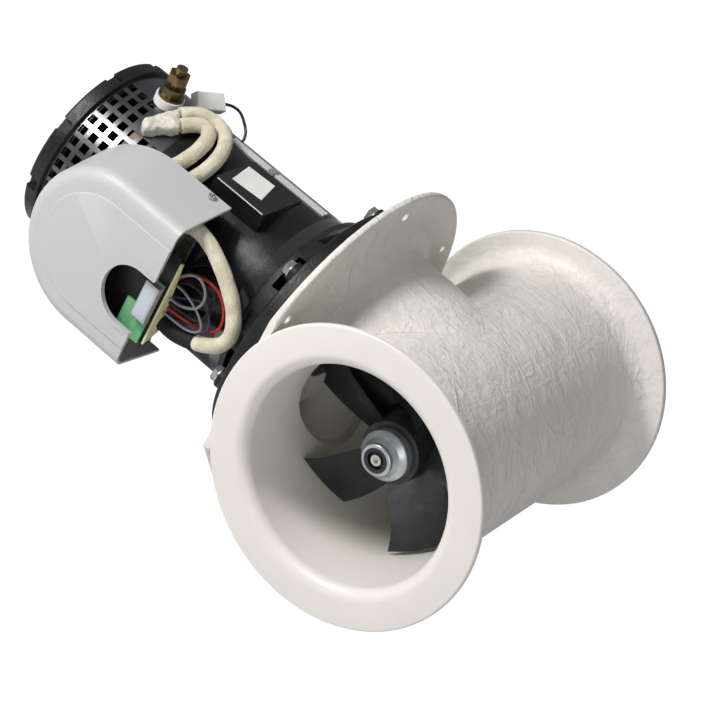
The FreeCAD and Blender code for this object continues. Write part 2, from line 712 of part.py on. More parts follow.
def coupling_hub(plate_low, jaw_low, bore_r, first_angle):
    plate = neck_ring(COUPLING_D / 2, bore_r + SEAT, plate_low, plate_low + HUB_PLATE_T)
    jaws = []
    for index in range(JAW_COUNT):
        angle = first_angle + 360.0 * index / JAW_COUNT
        jaws.append(sector(COUPLING_D / 2, 12.5, JAW_ANGLE / 2, jaw_low, jaw_low + JAW_H, angle))
    return join([plate] + jaws)


def coupling_lower_hub():
    return coupling_hub(JAW_Y - HUB_PLATE_T, JAW_Y, LEG_TOP_BEARING[0] / 2, 0.0)


def coupling_upper_hub():
    return coupling_hub(UPPER_HUB_Y, UPPER_HUB_Y - JAW_H, MOTOR_DRIVE_BEARING[0] / 2, 60.0)


def coupling_spider():
    core = neck_cylinder(12, JAW_Y + 0.2, UPPER_HUB_Y - 0.2)
    leg_angle = (360.0 / (2 * JAW_COUNT) - JAW_ANGLE) / 2 - 0.4
    legs = []
    for index in range(2 * JAW_COUNT):
        angle = 30.0 + 60.0 * index
        legs.append(sector(COUPLING_D / 2 - 1, 11, leg_angle, JAW_Y + 0.2, UPPER_HUB_Y - 0.2, angle))
    return join([core] + legs)


# ---------------------------------------------------------------- propeller
def blade_section(height):
    """Closed wire across one blade at a height above the shaft axis."""
    spread = (height - 26.0) / (PROP_TIP_D / 2 - 26.0)
    hook = 13.0 + 9.0 * spread + 6.0 * max(0.0, spread - 0.75) * 4
    lead = -20.0 - 18.0 * spread + 16.0 * spread ** 2
    slope = -0.80 + 0.34 * spread
    thick = BLADE_T - (BLADE_T - 3.0) * spread
    edge = BLADE_EDGE_T / 2
    camber = 1.8
    middle = (hook + lead) / 2
    def place(across, offset):
        return Vector(BLADE_MID_X + slope * across + offset, TUNNEL_Y + height, across)
    front = Part.Arc(place(lead, -edge), place(middle, camber - thick / 2), place(hook, -edge)).toShape()
    tip = Part.LineSegment(place(hook, -edge), place(hook, edge)).toShape()
    rear = Part.Arc(place(hook, edge), place(middle, camber + thick / 2), place(lead, edge)).toShape()
    root = Part.LineSegment(place(lead, edge), place(lead, -edge)).toShape()
    return Part.Wire([front, tip, rear, root])


def propeller():
    heights = (24.0, 38.0, 52.0, 66.0, 79.0, 92.0)
    blade = Part.makeLoft([blade_section(height) for height in heights], True, False)
    blade = blade.common(tunnel_cylinder(PROP_TIP_D / 2, -120, 0))
    hub = turned_about_tunnel([
        (-HUB_FRONT, 0), (-HUB_FRONT, HUB_FRONT_D / 2, 2), (-HUB_REAR, HUB_REAR_D / 2, 1), (-HUB_REAR, 0)])
    blades = [about_tunnel(blade, BLADE_ANGLE + 360.0 * index / BLADES) for index in range(BLADES)]
    body = join([hub] + blades)
    shaft_r = PROP_FRONT_BEARING[0] / 2
    nut_seat = HUB_FRONT - 7
    slot = box(-drive_pin_x() - DRIVE_PIN_D / 2 - 0.1, -HUB_REAR + 1, TUNNEL_Y - DRIVE_PIN_D / 2 - 0.1,
               TUNNEL_Y + DRIVE_PIN_D / 2 + 0.1, -21, 21)
    cuts = [
        tunnel_cylinder(shaft_r + SEAT, -nut_seat - 1, -HUB_REAR + 1),
        tunnel_cylinder(14, -HUB_FRONT - 1, -nut_seat),
        slot,
    ]
    return cut_all(body, cuts)


def propeller_nut():
    seat = -(HUB_FRONT - 7)
    washer = tunnel_ring(13, 5 + THREAD_GAP, seat - 1.5, seat)
    nut = hexagon(17, 6, Vector(seat - 1.5, TUNNEL_Y, 0), -X)
    nut = nut.cut(tunnel_cylinder(5 + THREAD_GAP, seat - 10, seat))
    return join([washer, nut])


def anode():
    rear = -HUB_FRONT
    front = rear - ANODE_L
    radius = ANODE_D / 2
    nose = ANODE_NOSE_D / 2
    return turned_about_tunnel([
        (rear, 11.5), (rear, radius, 1), (rear - 9, radius, 2.5), (rear - 13, nose + 3, 3),
        (front + 4, nose, 1), (front, nose, 1.5), (front, ANODE_RECESS_D / 2, 0.5),
        (front + 5, ANODE_RECESS_D / 2), (front + 5, 3.3),
        (rear - 10, 3.3), (rear - 10, 11.5)])


def anode_screw():
    seat = Vector(-HUB_FRONT - ANODE_L + 5, TUNNEL_Y, 0)
    return socket_screw(6, seat, 20, -X, head_h=4.5)


# ---------------------------------------------------------------- motor
def drive_end_bell():
    bearing_bore, bearing_outer, bearing_width = MOTOR_DRIVE_BEARING
    radius = MOTOR_D / 2
    spigot = BRACKET_BORE_D / 2 - SEAT
    seat = BELL_BEARING_Y
    boss = seat + bearing_width
    inside = radius - MOTOR_WALL - SEAT
    bell = turned_about_neck([
        (30, BELL_Y - 5), (spigot, BELL_Y - 5), (spigot, BELL_Y), (radius, BELL_Y, 2), (radius, CASE_Y),
        (inside, CASE_Y), (inside, CASE_Y + 4), (inside - 7, CASE_Y + 4), (inside - 7, BELL_Y + 10),
        (32, BELL_Y + 10), (30, boss), (bearing_outer / 2 + SEAT, boss), (bearing_outer / 2 + SEAT, seat),
        (bearing_bore / 2 + 2, seat), (bearing_bore / 2 + 2, seat - 2.5), (30, seat - 2.5)])
    hole = Part.makeCylinder(TIE_BOLT_D / 2 + THREAD_GAP, 20, Vector(TIE_CIRCLE / 2, BELL_Y + 2, 0), Y)
    return cut_all(bell, ring_about_neck(hole, POLES))


def motor_case():
    return neck_ring(MOTOR_D / 2, MOTOR_D / 2 - MOTOR_WALL, CASE_Y, BAND_Y)


def pole_levels():
    middle = CASE_Y + CASE_L / 2
    return middle - ARMATURE_L / 2, middle + ARMATURE_L / 2


def field_poles():
    low, high = pole_levels()
    inside = MOTOR_D / 2 - MOTOR_WALL - SEAT
    shoe = POLE_BORE_D / 2
    poles = []
    for index in range(POLES):
        angle = 45.0 + 360.0 * index / POLES
        foot = sector(shoe + 6, shoe, 32, low, high, angle)
        neck = sector(inside, shoe + 5, 14, low, high, angle)
        poles.append(join([foot, neck]))
    return Part.makeCompound(poles)


def field_coils():
    low, high = pole_levels()
    inside = MOTOR_D / 2 - MOTOR_WALL - 0.5
    shoe = POLE_BORE_D / 2 + 6
    coils = []
    for index in range(POLES):
        angle = 45.0 + 360.0 * index / POLES
        outer = sector(inside, shoe + SEAT, 29, low - 9, high + 9, angle)
        coils.append(outer.cut(sector(inside + 2, shoe - 2, 14.2, low - 0.1, high + 0.1, angle)))
    return Part.makeCompound(coils)


def commutator_band():
    outer = MOTOR_D / 2
    band = neck_ring(outer, outer - BAND_T, BAND_Y, CAP_Y)
    seam = neck_ring(outer, outer - MOTOR_WALL + SEAT, BAND_Y, BAND_Y + 3)
    hole = box(outer - BAND_T - 3, outer + 3, -BAND_HOLE / 2, BAND_HOLE / 2, -BAND_HOLE / 2, BAND_HOLE / 2)
    column_angle = math.degrees(BAND_PITCH / outer)
    first_y = CAP_Y - BAND_PITCH / 2
    holes = []
    for row in range(BAND_ROWS):
        start = 0 if row < BAND_ROWS / 2 else BAND_BLANK_COLUMNS
        for column in range(start, BAND_COLUMNS):
            square = about_neck(hole, BAND_FIRST_ANGLE + column * column_angle)
            square.translate(Vector(0, first_y - row * BAND_PITCH, 0))
            holes.append(square)
    return cut_all(join([band, seam]), holes)


def commutator_end_cap():
    bearing_outer = MOTOR_END_BEARING[1]
    radius = END_RING_D / 2
    spigot = MOTOR_D / 2 - BAND_T - SEAT
    back = CAP_Y + END_RING_T - 5
    boss = END_BEARING_Y
    cap = turned_about_neck([
        (0, CAP_Y + END_RING_T), (radius, CAP_Y + END_RING_T, 3), (radius, CAP_Y, 1), (spigot, CAP_Y),
        (spigot, CAP_Y - 4), (spigot - 4, CAP_Y - 4), (spigot - 4, back), (26, back), (25, boss),
        (bearing_outer / 2 + SEAT, boss), (bearing_outer / 2 + SEAT, boss + MOTOR_END_BEARING[2]),
        (0, boss + MOTOR_END_BEARING[2])])
    notch = box(radius - 6, radius + 5, CAP_Y + 3, CAP_Y + END_RING_T + 1, -6, 6)
    slot = sector(60, 34, 12, CAP_Y + END_RING_T - 2.5, CAP_Y + END_RING_T + 1, 0)
    hole = Part.makeCylinder(TIE_BOLT_D / 2 + BOLT_GAP, 20, Vector(TIE_CIRCLE / 2, CAP_Y - 4, 0), Y)
    return cut_all(cap, ring_about_neck(notch, END_NOTCHES, 30) + ring_about_neck(slot, END_NOTCHES, 10)
                   + ring_about_neck(hole, POLES))


def tie_bolts():
    seat = Vector(TIE_CIRCLE / 2, CAP_Y + END_RING_T, 0)
    bolt = hex_bolt(TIE_BOLT_D, 10, seat, CAP_Y + END_RING_T - BELL_Y - 4, Y)
    return Part.makeCompound(ring_about_neck(bolt, POLES))


def brush_y():
    return BAND_Y + 16.0


def brush_ring():
    outer = MOTOR_D / 2 - BAND_T - SEAT
    low = brush_y() + BRUSH_H / 2 + 2
    ring = neck_ring(outer, COMMUTATOR_D / 2 + 4, low, low + 5)
    hole = Part.makeCylinder(TIE_BOLT_D / 2 + BOLT_GAP, 9, Vector(TIE_CIRCLE / 2, low - 1, 0), Y)
    return cut_all(ring, ring_about_neck(hole, POLES))


def brush_boxes():
    level = brush_y()
    wall = 2.0
    first = COMMUTATOR_D / 2 + 4
    last = TIE_CIRCLE / 2 - BRUSH_BOX_GAP
    outer = box(first, last, level - BRUSH_H / 2 - wall, level + BRUSH_H / 2 + wall,
                -BRUSH_W / 2 - wall, BRUSH_W / 2 + wall)
    inner = box(first - 1, last + 1, level - BRUSH_H / 2, level + BRUSH_H / 2, -BRUSH_W / 2, BRUSH_W / 2)
    return Part.makeCompound(ring_about_neck(outer.cut(inner), POLES))


def brushes():
    level = brush_y()
    last = TIE_CIRCLE / 2 - BRUSH_BOX_GAP - BRUSH_SPRING_D
    block = box(20, last, level - BRUSH_H / 2 + 0.1, level + BRUSH_H / 2 - 0.1,
                -BRUSH_W / 2 + 0.1, BRUSH_W / 2 - 0.1)
    block = block.cut(neck_cylinder(COMMUTATOR_D / 2 + RUN, level - BRUSH_H, level + BRUSH_H))
    return Part.makeCompound(ring_about_neck(block, POLES))


def brush_springs():
    level = brush_y()
    start = Vector(TIE_CIRCLE / 2 - BRUSH_BOX_GAP - BRUSH_SPRING_D / 2, level, -BRUSH_W / 2 + 1)
    coil = Part.makeCylinder(BRUSH_SPRING_D / 2, BRUSH_W - 2, start, Z).cut(Part.makeCylinder(3, BRUSH_W, start, Z))
    return Part.makeCompound(ring_about_neck(coil, POLES))


def motor_shaft():
    radius = MOTOR_DRIVE_BEARING[0] / 2
    end_r = MOTOR_END_BEARING[0] / 2
    top = END_BEARING_Y + MOTOR_END_BEARING[2] - 1
    return turned_about_neck([
        (0, UPPER_HUB_Y), (radius, UPPER_HUB_Y), (radius, END_BEARING_Y - 2), (end_r, END_BEARING_Y),
        (end_r, top, 1), (0, top)])


def armature_core():
    low, high = pole_levels()
    core = neck_ring(ARMATURE_D / 2, MOTOR_DRIVE_BEARING[0] / 2 + SEAT, low, high)
    slot = box(ARMATURE_D / 2 - 9, ARMATURE_D / 2 + 1, low - 1, high + 1, -1.8, 1.8)
    return cut_all(core, ring_about_neck(slot, ARMATURE_SLOTS))


def armature_windings():
    low, high = pole_levels()
    outer = ARMATURE_D / 2 - 3
    lower = turned_about_neck([(18, low - 12, 4), (outer, low - 12, 6), (outer, low), (18, low)])
    upper = turned_about_neck([(18, high), (outer, high), (outer, high + 10, 6), (18, high + 10)])
    bar = box(ARMATURE_D / 2 - 8.9, ARMATURE_D / 2 - 2, low, high, -1.7, 1.7)
    return join([lower, upper] + ring_about_neck(bar, ARMATURE_SLOTS))


def commutator():
    low = BAND_Y - 4
    body = neck_ring(COMMUTATOR_D / 2, MOTOR_DRIVE_BEARING[0] / 2 + SEAT, low, low + COMMUTATOR_L)
    slit = box(COMMUTATOR_D / 2 - 1.5, COMMUTATOR_D / 2 + 1, low - 1, low + COMMUTATOR_L + 1, -0.35, 0.35)
    return cut_all(body, ring_about_neck(slit, COMMUTATOR_BARS))


def label_plate():
    """Flat-topped saddle on the motor case."""
    block = box(-50, 6, SADDLE_LOW_Y, SADDLE_HIGH_Y, 55, MOTOR_D / 2 + SADDLE_RISE)
    block = block.cut(neck_cylinder(MOTOR_D / 2 + SEAT, SADDLE_LOW_Y - 2, SADDLE_HIGH_Y + 2))
    return block


# ---------------------------------------------------------------- control box
def cover_radius(x):
    """The cover narrows from its rim beside the motor to its face."""
    share = (COVER_INNER_X - x) / (COVER_INNER_X - COVER_OUTER_X)
    return COVER_RIM_R + (COVER_FACE_R - COVER_RIM_R) * share


def horseshoe_wire(radius, x, open_y):
    low, high = COVER_MID_Z - radius, COVER_MID_Z + radius
    start = Vector(x, open_y, low)
    turn = Vector(x, COVER_ROUND_Y, low)
    apex = Vector(x, COVER_ROUND_Y + radius, COVER_MID_Z)
    back = Vector(x, COVER_ROUND_Y, high)
    finish = Vector(x, open_y, high)
    return Part.Wire([
        Part.LineSegment(start, turn).toShape(), Part.Arc(turn, apex, back).toShape(),
        Part.LineSegment(back, finish).toShape(), Part.LineSegment(finish, start).toShape()])


def horseshoe(radius, inner_x, outer_x, open_y):
    """Prism with one round end, lying across X."""
    face = Part.Face(horseshoe_wire(radius, inner_x, open_y))
    return face.extrude(Vector(outer_x - inner_x, 0, 0))


def drafted_shell(inner_x, outer_x, open_y, inset):
    wires = [horseshoe_wire(cover_radius(x) - inset, x, open_y) for x in (inner_x, outer_x)]
    return Part.makeLoft(wires, True, True)


def rounded_face(prism, face_x, radius):
    rim = []
    for edge in prism.Edges:
        on_face = all(abs(vertex.X - face_x) < 1e-6 for vertex in edge.Vertexes)
        open_end = all(abs(vertex.Y - prism.BoundBox.YMin) < 1e-6 for vertex in edge.Vertexes)
        if on_face and not open_end:
            rim.append(edge)
    return prism.makeFillet(radius, rim)


def control_cover():
    outer = rounded_face(drafted_shell(COVER_INNER_X, COVER_OUTER_X, COVER_OPEN_Y, 0),
                         COVER_OUTER_X, COVER_EDGE_R)
    face_x = COVER_OUTER_X + COVER_WALL
    inner = rounded_face(drafted_shell(COVER_INNER_X + 5, face_x, COVER_OPEN_Y - 5, COVER_WALL),
                         face_x, COVER_EDGE_R - COVER_WALL)
    plateau_x = COVER_OUTER_X - PLATEAU_H
    plateau = rounded_face(horseshoe(PLATEAU_R, COVER_OUTER_X + 1, plateau_x, COVER_OPEN_Y),
                           plateau_x, PLATEAU_H * 0.9)
    ridge = Part.makeCylinder(NOTCH_R + NOTCH_RIDGE_W, PLATEAU_H + 1.5,
                              Vector(plateau_x - 0.8, NOTCH_Y, NOTCH_Z), X)
    ridge = ridge.cut(box(plateau_x - 2, face_x, 0, COVER_OPEN_Y, -COVER_RIM_R, COVER_RIM_R))
    notch_x = COVER_OUTER_X - 4
    notch = Part.makeCylinder(NOTCH_R, 12, Vector(notch_x, NOTCH_Y, NOTCH_Z), X)
    notch = notch.fuse(box(notch_x, notch_x + 12, COVER_OPEN_Y - 5, NOTCH_Y,
                           NOTCH_Z - NOTCH_R, NOTCH_Z + NOTCH_R))
    motor_room = neck_cylinder(MOTOR_D / 2 + 0.4, COVER_OPEN_Y - 10, CAP_Y)
    cover = cut_all(join([outer.cut(inner), plateau, ridge]), [notch, motor_room])
    holes = [Part.makeCylinder(SCREW_D / 2 + 0.2, 12, place + axis * 3, -axis)
             for place, axis in cover_screw_places()]
    return cut_all(cover, holes)


def cover_screw_places():
    """Two screws low on either side of the cover and one higher on its far side."""
    x = COVER_INNER_X - 7
    half = cover_radius(x) + 0.4
    low, high = 122.0, 198.0
    return [(Vector(x, low, COVER_MID_Z - half), -Z), (Vector(x, low, COVER_MID_Z + half), Z),
            (Vector(x, high - 38.0, COVER_MID_Z - half), -Z)]


def cover_screws():
    screws = []
    for place, axis in cover_screw_places():
        screws.append(socket_screw(SCREW_D, place, 6, axis, head_h=2.5))
    return Part.makeCompound(screws)


def control_base():
    high_x = -MOTOR_D / 2 - 2
    low_x = high_x - BASE_T
    inside = cover_radius(low_x) - COVER_WALL - 0.3
    full = horseshoe(inside, high_x, low_x, COVER_OPEN_Y + 7)
    cable_room = box(low_x - 1, high_x + 1, 135, 400, 42, 200)
    plate = full.cut(cable_room)
    tabs = []
    for place, axis in cover_screw_places():
        edge = COVER_MID_Z + axis.z * inside
        tab = box(low_x, COVER_INNER_X - 3, place.y - 7, place.y + 7,
                  min(edge, edge - axis.z * 3), max(edge, edge - axis.z * 3))
        tabs.append(tab)
    plate = join([plate] + tabs)
    holes = [Part.makeCylinder(SCREW_D / 2 + THREAD_GAP, 12, place, -axis)
             for place, axis in cover_screw_places()]
    return cut_all(plate, holes)


def control_feet():
    feet = []
    for level in (122.0, 178.0):
        block = box(-MOTOR_D / 2 - 2, -60, level, level + 12, -28, 28)
        feet.append(block.cut(neck_cylinder(MOTOR_D / 2 + SEAT, level - 1, level + 13)))
    return Part.makeCompound(feet)


def contactor(low_y):
    body = box(-113, -MOTOR_D / 2 - 2 - BASE_T, low_y, low_y + 42, -46, CONTACTOR_TOP)
    body = body.makeFillet(2.5, [edge for edge in body.Edges if edge.BoundBox.YLength > 40])
    rib = box(-114.5, -112, low_y + 5, low_y + 37, -38, -34)
    second = rib.copy()
    second.translate(Vector(0, 0, 36))
    return join([body, rib, second])


def contactors():
    return Part.makeCompound([contactor(122.0), contactor(172.0)])


def contactor_stud_levels():
    return 133.0, 153.0, 183.0, 203.0


def contactor_studs():
    studs = []
    for level in contactor_stud_levels():
        base = Vector(CONTACTOR_STUD_X, level, CONTACTOR_TOP)
        studs.append(join([Part.makeCylinder(4, 8, base, Z), hexagon(13, 4, base, Z)]))
    return Part.makeCompound(studs)


def cable_lugs():
    lugs = []
    for level in contactor_stud_levels()[:3]:
        lugs.append(Part.makeCylinder(6.5, 14, Vector(CONTACTOR_STUD_X, level, CONTACTOR_TOP + 8), Z))
    return Part.makeCompound(lugs)


def relay_plate():
    plate = box(-119, -117, 100, 160, -44, 46)
    leg = box(-117, -113, 128, 134, -30, -6)
    return join([plate, leg])


def circuit_board():
    return join([box(-121, -119, 103, 118, -46, 16), box(-121, -119, 118, 129, -46, -14)])


def control_module():
    module = box(-128, -121, 102, 117, -22, 15)
    return module.makeFillet(0.8, [edge for edge in module.Edges if edge.BoundBox.XMax < -127.9])


def insulating_card():
    corners = [Vector(-119, 98, 42), Vector(-116.5, 98, 42), Vector(-102, 98, -34), Vector(-119, 98, -44)]
    card = Part.Face(Part.makePolygon(corners + corners[:1])).extrude(Vector(0, 2, 0))
    return card.cut(Part.makeCylinder(CABLE_D / 2 + 2, 10, Vector(-103.2, 94, -24), Y))


# ---------------------------------------------------------------- leads
def route(*corners):
    return [Vector(*corner) for corner in corners]


def loop_cable_a():
    return route((-27.8, 200, 87), (-17, 194, 91.4), (-11.6, 185.8, 92.4), (-15.6, 178, 91.9),
                 (-25.2, 173, 89.8), (-39.1, 170, 84.4), (-55.8, 171.5, 75), (-70, 177, 67),
                 (-88, 181, 62), (-99, 183, 51), (-99, 183, 36))


def loop_cable_b():
    return route((-18.1, 209.3, 89.6), (-4.8, 203.6, 92.8), (4.2, 190.1, 92.9), (0.6, 173, 93),
                 (-14, 160.8, 91.8), (-32.4, 153, 87.2), (-45.6, 151.5, 81.1), (-56.3, 153, 74.6),
                 (-71, 153, 67), (-89, 152.8, 62), (-99, 153, 51), (-99, 153, 36))


def lower_cable():
    return route((-99, 133, 36), (-99, 133, 53), (-100, 118, 65), (-101, 97, 66), (-103, 72, 54),
                 (-105, 48, 36), (-107, 34, 13), (-108, 44, -8), (-107, 62, -16))


def cable_boot():
    return route((-107, 62, -16), (-106, 80, -24), (-102.5, 102, -24), (-102.5, 121.9, -24))


def cable_cuff():
    """Flat wrap on the motor that both loop cables come out of."""
    outward = Vector(math.cos(math.radians(CUFF_ANGLE)), 0, math.sin(math.radians(CUFF_ANGLE)))
    corners = [Vector(-45.5, 223.4, 75.9), Vector(-52.5, 216.6, 74.1),
               Vector(-31.3, 196.4, 84.4), Vector(-14.2, 213.1, 88.9)]
    flat = [corner - outward * (corner.dot(outward) - CUFF_PLANE) for corner in corners]
    prism = Part.Face(Part.makePolygon(flat + flat[:1])).extrude(outward * 40)
    cuff = prism.common(neck_ring(MOTOR_D / 2 + CUFF_T, MOTOR_D / 2 + SEAT, BAND_Y, CAP_Y))
    return cut_all(cuff, [tube_along(points, CABLE_D + 0.4) for points in (loop_cable_a(), loop_cable_b())])


def signal_wires():
    """Four wires loop out of the cover's open end; the fifth leaves the connector."""
    return [
        route((-100, 122, 2), (-100, 110, 2), (-100, 98, 30), (-100, 70, 36), (-100, 54, 22),
              (-100, 50, 4), (-100, 61, -6), (-102, 74, -8), (-108.5, 88, -6), (-108.5, 98, -6)),
        route((-105.5, 122, 6), (-105.5, 110, 6), (-105.5, 96, 24), (-105.5, 76, 26), (-105.5, 63, 14),
              (-105.5, 69, -1), (-107, 82, -1), (-110, 90, 0), (-110, 98, 0)),
        route((-95, 122, 4), (-95, 110, 4), (-95, 98, 22), (-95, 80, 24), (-95, 68, 12),
              (-95, 66, 0), (-98, 76, -9), (-108.5, 89, -12.5), (-108.5, 98, -12.5)),
        route((-110.5, 122, 8), (-110.5, 110, 8), (-110.5, 98, 30), (-110.5, 84, 40), (-110.5, 70, 30),
              (-110.5, 71, 14), (-111.5, 82, 7), (-113.5, 90, 6), (-113.5, 98, 6)),
        route((34.4, 204.2, 93.8), (42, 200.9, 93.8), (50, 193, 90), (52, 184, 81), (46.5, 176, 76.5),
              (43.1, 174.8, 72.5)),
    ]


def stud_axis():
    angle = math.radians(STUD_ANGLE)
    return Vector(0, STUD_Y, 0), Vector(math.cos(angle), 0, math.sin(angle))


def battery_stud():
    """Core diameter under the nuts, full thread diameter on the free end."""
    centre, out = stud_axis()
    surface = MOTOR_D / 2
    free_start = STUD_END_R - STUD_FREE
    core = Part.makeCylinder(STUD_CORE_D / 2, free_start - surface + 1, centre + out * (surface - 1), out)
    core = core.cut(neck_cylinder(surface + SEAT, STUD_Y - 20, STUD_Y + 20))
    end = Part.makeCylinder(STUD_D / 2, STUD_FREE, centre + out * free_start, out)
    return join([core, end])


def stud_insulator():
    centre, out = stud_axis()
    surface = MOTOR_D / 2
    washer = Part.makeCylinder(13, STUD_SEAT_H + 2, centre + out * (surface - 2), out)
    washer = washer.cut(Part.makeCylinder(STUD_CORE_D / 2 + SEAT, 40, centre + out * (surface - 10), out))
    return washer.cut(neck_cylinder(surface + SEAT, STUD_Y - 20, STUD_Y + 20))


def stud_nuts():
    """Clamping nut on its washer, a lug washer, and the loose upper nut for the battery lug."""
    centre, out = stud_axis()
    seat = MOTOR_D / 2 + STUD_SEAT_H
    bore = Part.makeCylinder(STUD_CORE_D / 2 + THREAD_GAP, 60, centre + out * (seat - 11), out)
    washer = Part.makeCylinder(11.5, 2, centre + out * seat, out)
    lower = hexagon(STUD_AF, 7, centre + out * (seat + 2), out)
    lug_washer = Part.makeCylinder(10, 1.8, centre + out * (seat + 9.3), out)
    upper = hexagon(STUD_AF, STUD_NUT_H, centre + out * (STUD_END_R - STUD_FREE - 0.4 - STUD_NUT_H), out)
    return Part.makeCompound([join([washer, lower]).cut(bore), lug_washer.cut(bore), upper.cut(bore)])


def connector_housing():
    """Tilted plug housing lying against the motor beside the stud."""
    along = Vector(0.919, -0.395, 0).normalize()
    across = Vector(0.316, 0.735, 0.6).normalize()
    up = along.cross(across).normalize()
    across = up.cross(along)
    centre = Vector(21.2, 209.9, 93.1)
    corner = (centre - along * (CONNECTOR_L / 2) - across * (CONNECTOR_W / 2) - up * (CONNECTOR_T / 2))
    base = Part.makePolygon([corner, corner + along * CONNECTOR_L,
                             corner + along * CONNECTOR_L + across * CONNECTOR_W,
                             corner + across * CONNECTOR_W, corner])
    block = Part.Face(base).extrude(up * CONNECTOR_T)
    block = block.makeFillet(1.2, [edge for edge in block.Edges if abs(edge.Length - CONNECTOR_L) < 0.01])
    return block


def export(name, shape):
    solids = shape.Solids
    shape = solids[0] if len(solids) == 1 else Part.makeCompound(solids)
    shape.exportStep("parts/" + name + ".step")
    print(name, len(solids), "solids", round(shape.Volume, 1), "valid", shape.isValid())


def main():
    os.makedirs("parts", exist_ok=True)
    nodes = {
        "tunnel_moulding": tunnel_moulding(),
        "bracket_gasket": bracket_gasket(),
        "motor_bracket": motor_bracket(),
        "bracket_bolts": bracket_bolts(),
        "leg_bolts": leg_bolts(),
        "gear_leg": gear_leg(),
        "gear_case_cap": gear_case_cap(),
        "bevel_pinion": bevel_pinion(),
        "bevel_gear": bevel_gear_wheel(),
        "drive_shaft": drive_shaft(),
        "propeller_shaft": propeller_shaft(),
        "drive_pin": drive_pin(),
        "bearing_outer_races": bearing_outer_races(),
        "armature_bearing_races": armature_bearing_races(),
        "propeller_bearing_races": propeller_bearing_races(),
        "shaft_seals": shaft_seals(),
        "coupling_lower_hub": coupling_lower_hub(),
        "coupling_spider": coupling_spider(),
        "coupling_upper_hub": coupling_upper_hub(),
        "propeller": propeller(),
        "propeller_nut": propeller_nut(),
        "anode": anode(),
        "anode_screw": anode_screw(),
        "drive_end_bell": drive_end_bell(),
        "motor_case": motor_case(),
        "field_poles": field_poles(),
        "field_coils": field_coils(),
        "commutator_band": commutator_band(),
        "commutator_end_cap": commutator_end_cap(),
        "tie_bolts": tie_bolts(),
        "brush_ring": brush_ring(),
        "brush_boxes": brush_boxes(),
        "brushes": brushes(),
        "brush_springs": brush_springs(),
        "motor_shaft": motor_shaft(),
        "armature_core": armature_core(),
        "armature_windings": armature_windings(),
        "commutator": commutator(),
        "label_plate": label_plate(),
        "control_cover": control_cover(),
        "cover_screws": cover_screws(),
        "control_base": control_base(),
        "control_feet": control_feet(),
        "contactors": contactors(),
        "contactor_studs": contactor_studs(),
        "cable_lugs": cable_lugs(),
        "relay_plate": relay_plate(),
        "circuit_board": circuit_board(),
        "control_module": control_module(),
        "insulating_card": insulating_card(),
        "loop_cable_a": tube_along(loop_cable_a(), CABLE_D),
        "loop_cable_b": tube_along(loop_cable_b(), CABLE_D),
        "lower_cable": tube_along(lower_cable(), CABLE_D),
        "cable_boot": tube_along(cable_boot(), CABLE_D + 1.5),
        "cable_cuff": cable_cuff(),
        "signal_wires": Part.makeCompound([tube_along(points, WIRE_D) for points in signal_wires()]),
        "battery_stud": battery_stud(),
        "stud_insulator": stud_insulator(),
        "stud_nuts": stud_nuts(),
        "connector_housing": connector_housing(),
    }
    for name, shape in nodes.items():
        export(name, shape)
    print(len(nodes), "nodes")


main()
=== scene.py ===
"""Looks for the tunnel thruster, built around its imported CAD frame.

Lengths are metres. Routes, corners and curved sheets are in millimetres.
The tunnel runs along X. The neck, the gear leg and the motor share an axis along Y.
"""

import json
import math

import bmesh
import bpy
from mathutils import Matrix, Vector
from mathutils import noise as field


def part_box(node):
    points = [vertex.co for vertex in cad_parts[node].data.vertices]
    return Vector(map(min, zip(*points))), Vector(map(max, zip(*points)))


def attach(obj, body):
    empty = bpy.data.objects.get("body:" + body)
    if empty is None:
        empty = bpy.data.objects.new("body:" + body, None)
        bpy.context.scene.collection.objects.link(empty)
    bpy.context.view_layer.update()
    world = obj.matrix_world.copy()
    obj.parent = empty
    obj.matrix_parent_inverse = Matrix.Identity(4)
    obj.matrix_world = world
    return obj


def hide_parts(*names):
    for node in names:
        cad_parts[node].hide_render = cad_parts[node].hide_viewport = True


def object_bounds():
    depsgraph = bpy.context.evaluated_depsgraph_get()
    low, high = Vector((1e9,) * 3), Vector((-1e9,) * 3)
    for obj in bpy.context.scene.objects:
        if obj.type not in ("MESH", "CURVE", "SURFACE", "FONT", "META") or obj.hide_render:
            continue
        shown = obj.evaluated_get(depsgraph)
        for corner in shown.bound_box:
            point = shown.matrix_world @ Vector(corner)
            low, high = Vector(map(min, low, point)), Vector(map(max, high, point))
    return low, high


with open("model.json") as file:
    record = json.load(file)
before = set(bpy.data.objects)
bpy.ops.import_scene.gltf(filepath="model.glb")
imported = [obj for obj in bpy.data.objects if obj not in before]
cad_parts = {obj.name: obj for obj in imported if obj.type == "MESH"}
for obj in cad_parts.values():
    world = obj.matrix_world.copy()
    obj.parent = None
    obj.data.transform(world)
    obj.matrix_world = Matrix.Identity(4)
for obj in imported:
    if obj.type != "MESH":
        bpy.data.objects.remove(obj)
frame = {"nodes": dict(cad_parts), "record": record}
cad_low, cad_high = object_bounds()
nodes = frame["nodes"]

MM = 0.001
TUNNEL_Y = -0.118
WELD_GAP = 0.00001
SPLIT_ANGLE = math.radians(32)
CUFF_KNIT = 0.0007
CUFF_SMOOTH_STEPS = 95
CUFF_FOLD_SIZE = 0.010
CUFF_FOLD_HEIGHT = 0.0042

